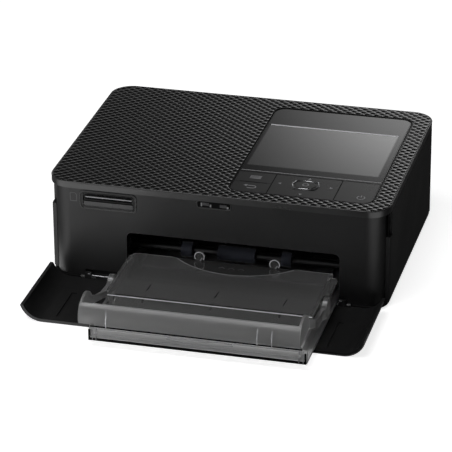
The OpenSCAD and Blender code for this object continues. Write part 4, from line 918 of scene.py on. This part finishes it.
for side, turn in (("left", 1), ("right", -1)):
    # Dark beads of painted shade in the gap under the case's front corners.
    hinge.append(bead("corner_shade_" + side, [(turn * x, y) for x, y in CORNER_SHADE_PATH], CORNER_SHADE_Z, CORNER_SHADE_RADIUS,
                      "painted_shade_black", closed=False))
print("hinge pieces:", len(hinge))

# %% [markdown]
# The edge of the flap is a rounded lip that catches the light as one thin line: along the left end, the front
# and the right end. Its grey is paler than the case, a painted highlight added to what the rounded lip
# catches. It curls up at both ends with the radius of the case's corner, because the shut flap is part of the
# front of the case.

# %% Lip of the flap
LIP = 0.38
LIP_BACK = -70.0
flap_low, flap_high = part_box("front_flap")
lip_y = flap_low[1] / MM - CASE_BACK + LIP * 0.6
lip_top = flap_high[2] / MM - LIP * 0.6
lip_radius = CASE_CORNER - LIP * 0.6
corner_x, corner_z = CASE_HALF_W - CASE_CORNER, flap_low[2] / MM + CASE_CORNER
rise = math.degrees(math.asin(min(1.0, (corner_z - lip_top) / lip_radius)))
left_curl = arc((-corner_x, corner_z), lip_radius, 180 + rise, 270, 12)
right_curl = arc((corner_x, corner_z), lip_radius, 270, 360 - rise, 12)
lip_path = [(x, lip_y, z) for x, z in left_curl + right_curl]
lip_path = [(lip_path[0][0], LIP_BACK, lip_top)] + lip_path + [(lip_path[-1][0], LIP_BACK, lip_top)]
# The lip's paler grey is partly a painted highlight.
bead("flap_lip", lip_path, 0.0, LIP, "painted_light_grey", "flap", closed=False)
print("flap lip:", len(lip_path), "points, top at", round(lip_top, 1), "mm")

# %% [markdown]
# The back isn't in the photograph. It gets what such a printer needs there: a lip round the slot where the
# paper runs out and back, a ring round the power inlet with the usual sign for direct current over it, and
# a frame round the data socket.

# %% Lips and sign of the back
BACK = 66.5


def back_ring(name, x, z, half_x, half_z, corner, radius):
    ring = rounded_outline(half_x, half_z, corner, 6, (x, z))
    return bead(name, [(px, BACK, pz) for px, pz in ring], 0.0, radius, "rim_black")


dashes = [bar((x, x + 1.2), (21.2, 21.6)) for x in (-72.4, -70.6, -68.8)]
back_pieces = [
    back_ring("paper_slot_lip", 9.0, 24.25, 54.2, 3.9, 1.2, 0.45),
    back_ring("inlet_ring", -70.0, 13.7, 4.7, 4.7, 4.6, 0.40),
    back_ring("data_socket_frame", -52.0, 12.7, 5.2, 2.3, 0.8, 0.30),
    slab("inlet_sign", [bar((-72.4, -67.6), (22.2, 22.6))] + dashes, 0, "sign_and_highlight_grey",
         flip=lambda x, z, high: (x, BACK + high, z)),
]
print("back pieces:", len(back_pieces))

# %% [markdown]
# The studio is a pale floor that runs far enough to meet a pale world. Only rays straight from the camera,
# or through a clear piece, see it so. Glossy rays are left out of that on purpose, and so are all others: a
# black glossy thing shows mostly what it mirrors, and they see an uneven room. It is nearly black overhead
# and at the right, pale low behind with a dimmer glow over that at the left, and faint at the left side.
# Its floor is pale at the front left, falls to nearly black at the right, is pale again off the right front
# corner, and is dark beside the case at the left. For these rays the floor glows, so it also puts some
# light on the printer.

# %% Floor and world
SEEN_WHITE = 1.0
SKY_DARK = 0.02
FLOOR_GREY, FLOOR_LIFT, FLOOR_GLOW = 0.80, 0.80, 0.95
# how pale the floor mirrors, along x from 150 mm left of the frame's zero to 150 mm right of it
FLOOR_REACH = 0.15
FLOOR_TONES = [(0.0, 1.0), (0.20, 1.0), (0.30, 0.75), (0.37, 0.36), (0.49, 0.22), (0.60, 0.14), (0.67, 0.03),
               (0.80, 0.03)]
CARD_TONE = 0.10


def seen_ray(tree):
    """1 for rays straight from the camera or through a clear piece, 0 for glossy and all other rays."""
    path = tree.nodes.new("ShaderNodeLightPath").outputs
    return calc(tree, "MAXIMUM", path["Is Camera Ray"], path["Is Transmission Ray"])


def make_world():
    world = bpy.data.worlds.new("pale_room")
    world.use_nodes = True
    tree = world.node_tree
    tree.nodes.clear()
    x, y, z = split_xyz(tree, tree.nodes.new("ShaderNodeTexCoord").outputs["Generated"])
    behind = smooth_ramp(tree, y, 0.2, 0.8)
    glow = calc(tree, "MULTIPLY", smooth_ramp(tree, z, 0.66, 0.36),
                smooth_ramp(tree, x, -0.15, -0.7, 0.05, 0.40))
    backdrop = smooth_ramp(tree, z, 0.34, 0.12, 0.0, 0.5)
    back = calc(tree, "MULTIPLY", behind, calc(tree, "MAXIMUM", glow, backdrop))
    left = calc(tree, "MULTIPLY", smooth_ramp(tree, x, -0.3, -0.95), 0.16)
    mirrored = calc(tree, "MAXIMUM", calc(tree, "MAXIMUM", back, left), SKY_DARK)
    level = mix_value(tree, seen_ray(tree), mirrored, SEEN_WHITE)
    sky = add_node(tree, "ShaderNodeBackground", {"Color": (1, 1, 1, 1), "Strength": level})
    add_node(tree, "ShaderNodeOutputWorld", {"Surface": sky.outputs[0]})
    bpy.context.scene.world = world
    return world


def make_floor(half=6.0):
    mesh = bpy.data.meshes.new("studio_floor")
    corners = [(-half, -half, 0), (half, -half, 0), (half, half, 0), (-half, half, 0)]
    mesh.from_pydata(corners, [], [(0, 1, 2, 3)])
    floor = add_object("studio_floor", mesh)
    material, tree, shader = new_material("floor_paper")
    seen = seen_ray(tree)
    x, y, _ = split_xyz(tree, object_place(tree))
    tones = add_node(tree, "ShaderNodeValToRGB", {"Fac": ramp(tree, x, -FLOOR_REACH, FLOOR_REACH)})
    stops = tones.color_ramp
    stops.interpolation = "EASE"
    while len(stops.elements) < len(FLOOR_TONES):
        stops.elements.new(0.5)
    for stop, (spot, tone) in zip(stops.elements, FLOOR_TONES):
        stop.position, stop.color = spot, (tone, tone, tone, 1)
    corner = calc(tree, "MULTIPLY", smooth_ramp(tree, x, 0.092, 0.115, 0.0, 0.75),
                  smooth_ramp(tree, y, CASE_BACK * MM - 0.075, CASE_BACK * MM - 0.105))
    left_card = calc(tree, "MULTIPLY", smooth_ramp(tree, x, -0.105, -0.125),
                     smooth_ramp(tree, y, CASE_BACK * MM - 0.115, CASE_BACK * MM - 0.075))
    left_tone = calc(tree, "SUBTRACT", 1.0, calc(tree, "MULTIPLY", left_card, 1.0 - CARD_TONE))
    pale = calc(tree, "MULTIPLY", calc(tree, "MAXIMUM", tones.outputs["Color"], corner), left_tone)
    feed(tree, shader, {
        "Base Color": mix_value(tree, seen, pale, FLOOR_GREY),
        "Emission Strength": mix_value(tree, seen, calc(tree, "MULTIPLY", pale, FLOOR_GLOW), FLOOR_LIFT),
        "Emission Color": (1, 1, 1, 1), "Roughness": 0.9, SPECULAR: 0.0})
    mesh.materials.append(material)
    return floor


world, floor = make_world(), make_floor()
print("stage:", world.name, floor.name)

# %% [markdown]
# Three soft boxes light the printer: a wide one overhead, one at the front left for the face of the case,
# and one behind, whose mirror image fades in across the display.

# %% Lamps
def soft_box(name, place, aim, size, level, tall=None, fade=()):
    """A rectangular lamp; level is how bright its face looks, where 1 is white. Each fade is an axis of its
    face and the two places on it, from 0 to 1, between which the light comes up."""
    data = bpy.data.lights.new(name, "AREA")
    data.shape, data.size, data.size_y = "RECTANGLE", size, tall or size
    data.energy = math.pi * size * (tall or size) * level
    if fade:
        data.use_nodes = True
        tree = data.node_tree
        on_face = tree.nodes.new("ShaderNodeNewGeometry").outputs["Parametric"]
        spot = dict(zip("XYZ", split_xyz(tree, on_face)))
        share = 1.0
        for axis, start, end in fade:
            share = calc(tree, "MULTIPLY", smooth_ramp(tree, spot[axis], start, end), share)
        feed(tree, tree.nodes["Emission"], {"Strength": share})
    lamp = add_object(name, data)
    lamp.location = case_point(*place)
    toward = case_point(*aim) - lamp.location
    lamp.rotation_euler = toward.to_track_quat("-Z", "Y").to_euler()
    return lamp


lamps = [
    soft_box("overhead_box", (-200, -600, 1450), (0, -60, 20), 1.0, 4.0, 0.8),
    soft_box("left_box", (-900, -1200, 450), (0, -60, 20), 0.7, 2.0),
    soft_box("back_box", (-50, 1200, 420), (-50, 0, 420), 0.60, 2.0, 0.48,
             fade=[("X", 1.0, 0.52), ("X", 0.0, 0.25), ("Y", 1.0, 0.76), ("Y", 0.0, 0.3)]),
]
print("lamps:", ", ".join(lamp.name for lamp in lamps))

# %% [markdown]
# Last, the colours are shown as they are. The added skin and beads take the dressed model a fraction of a
# millimetre past the CAD model's box.

# %% Colours as they are
bpy.context.scene.view_settings.view_transform = "Standard"
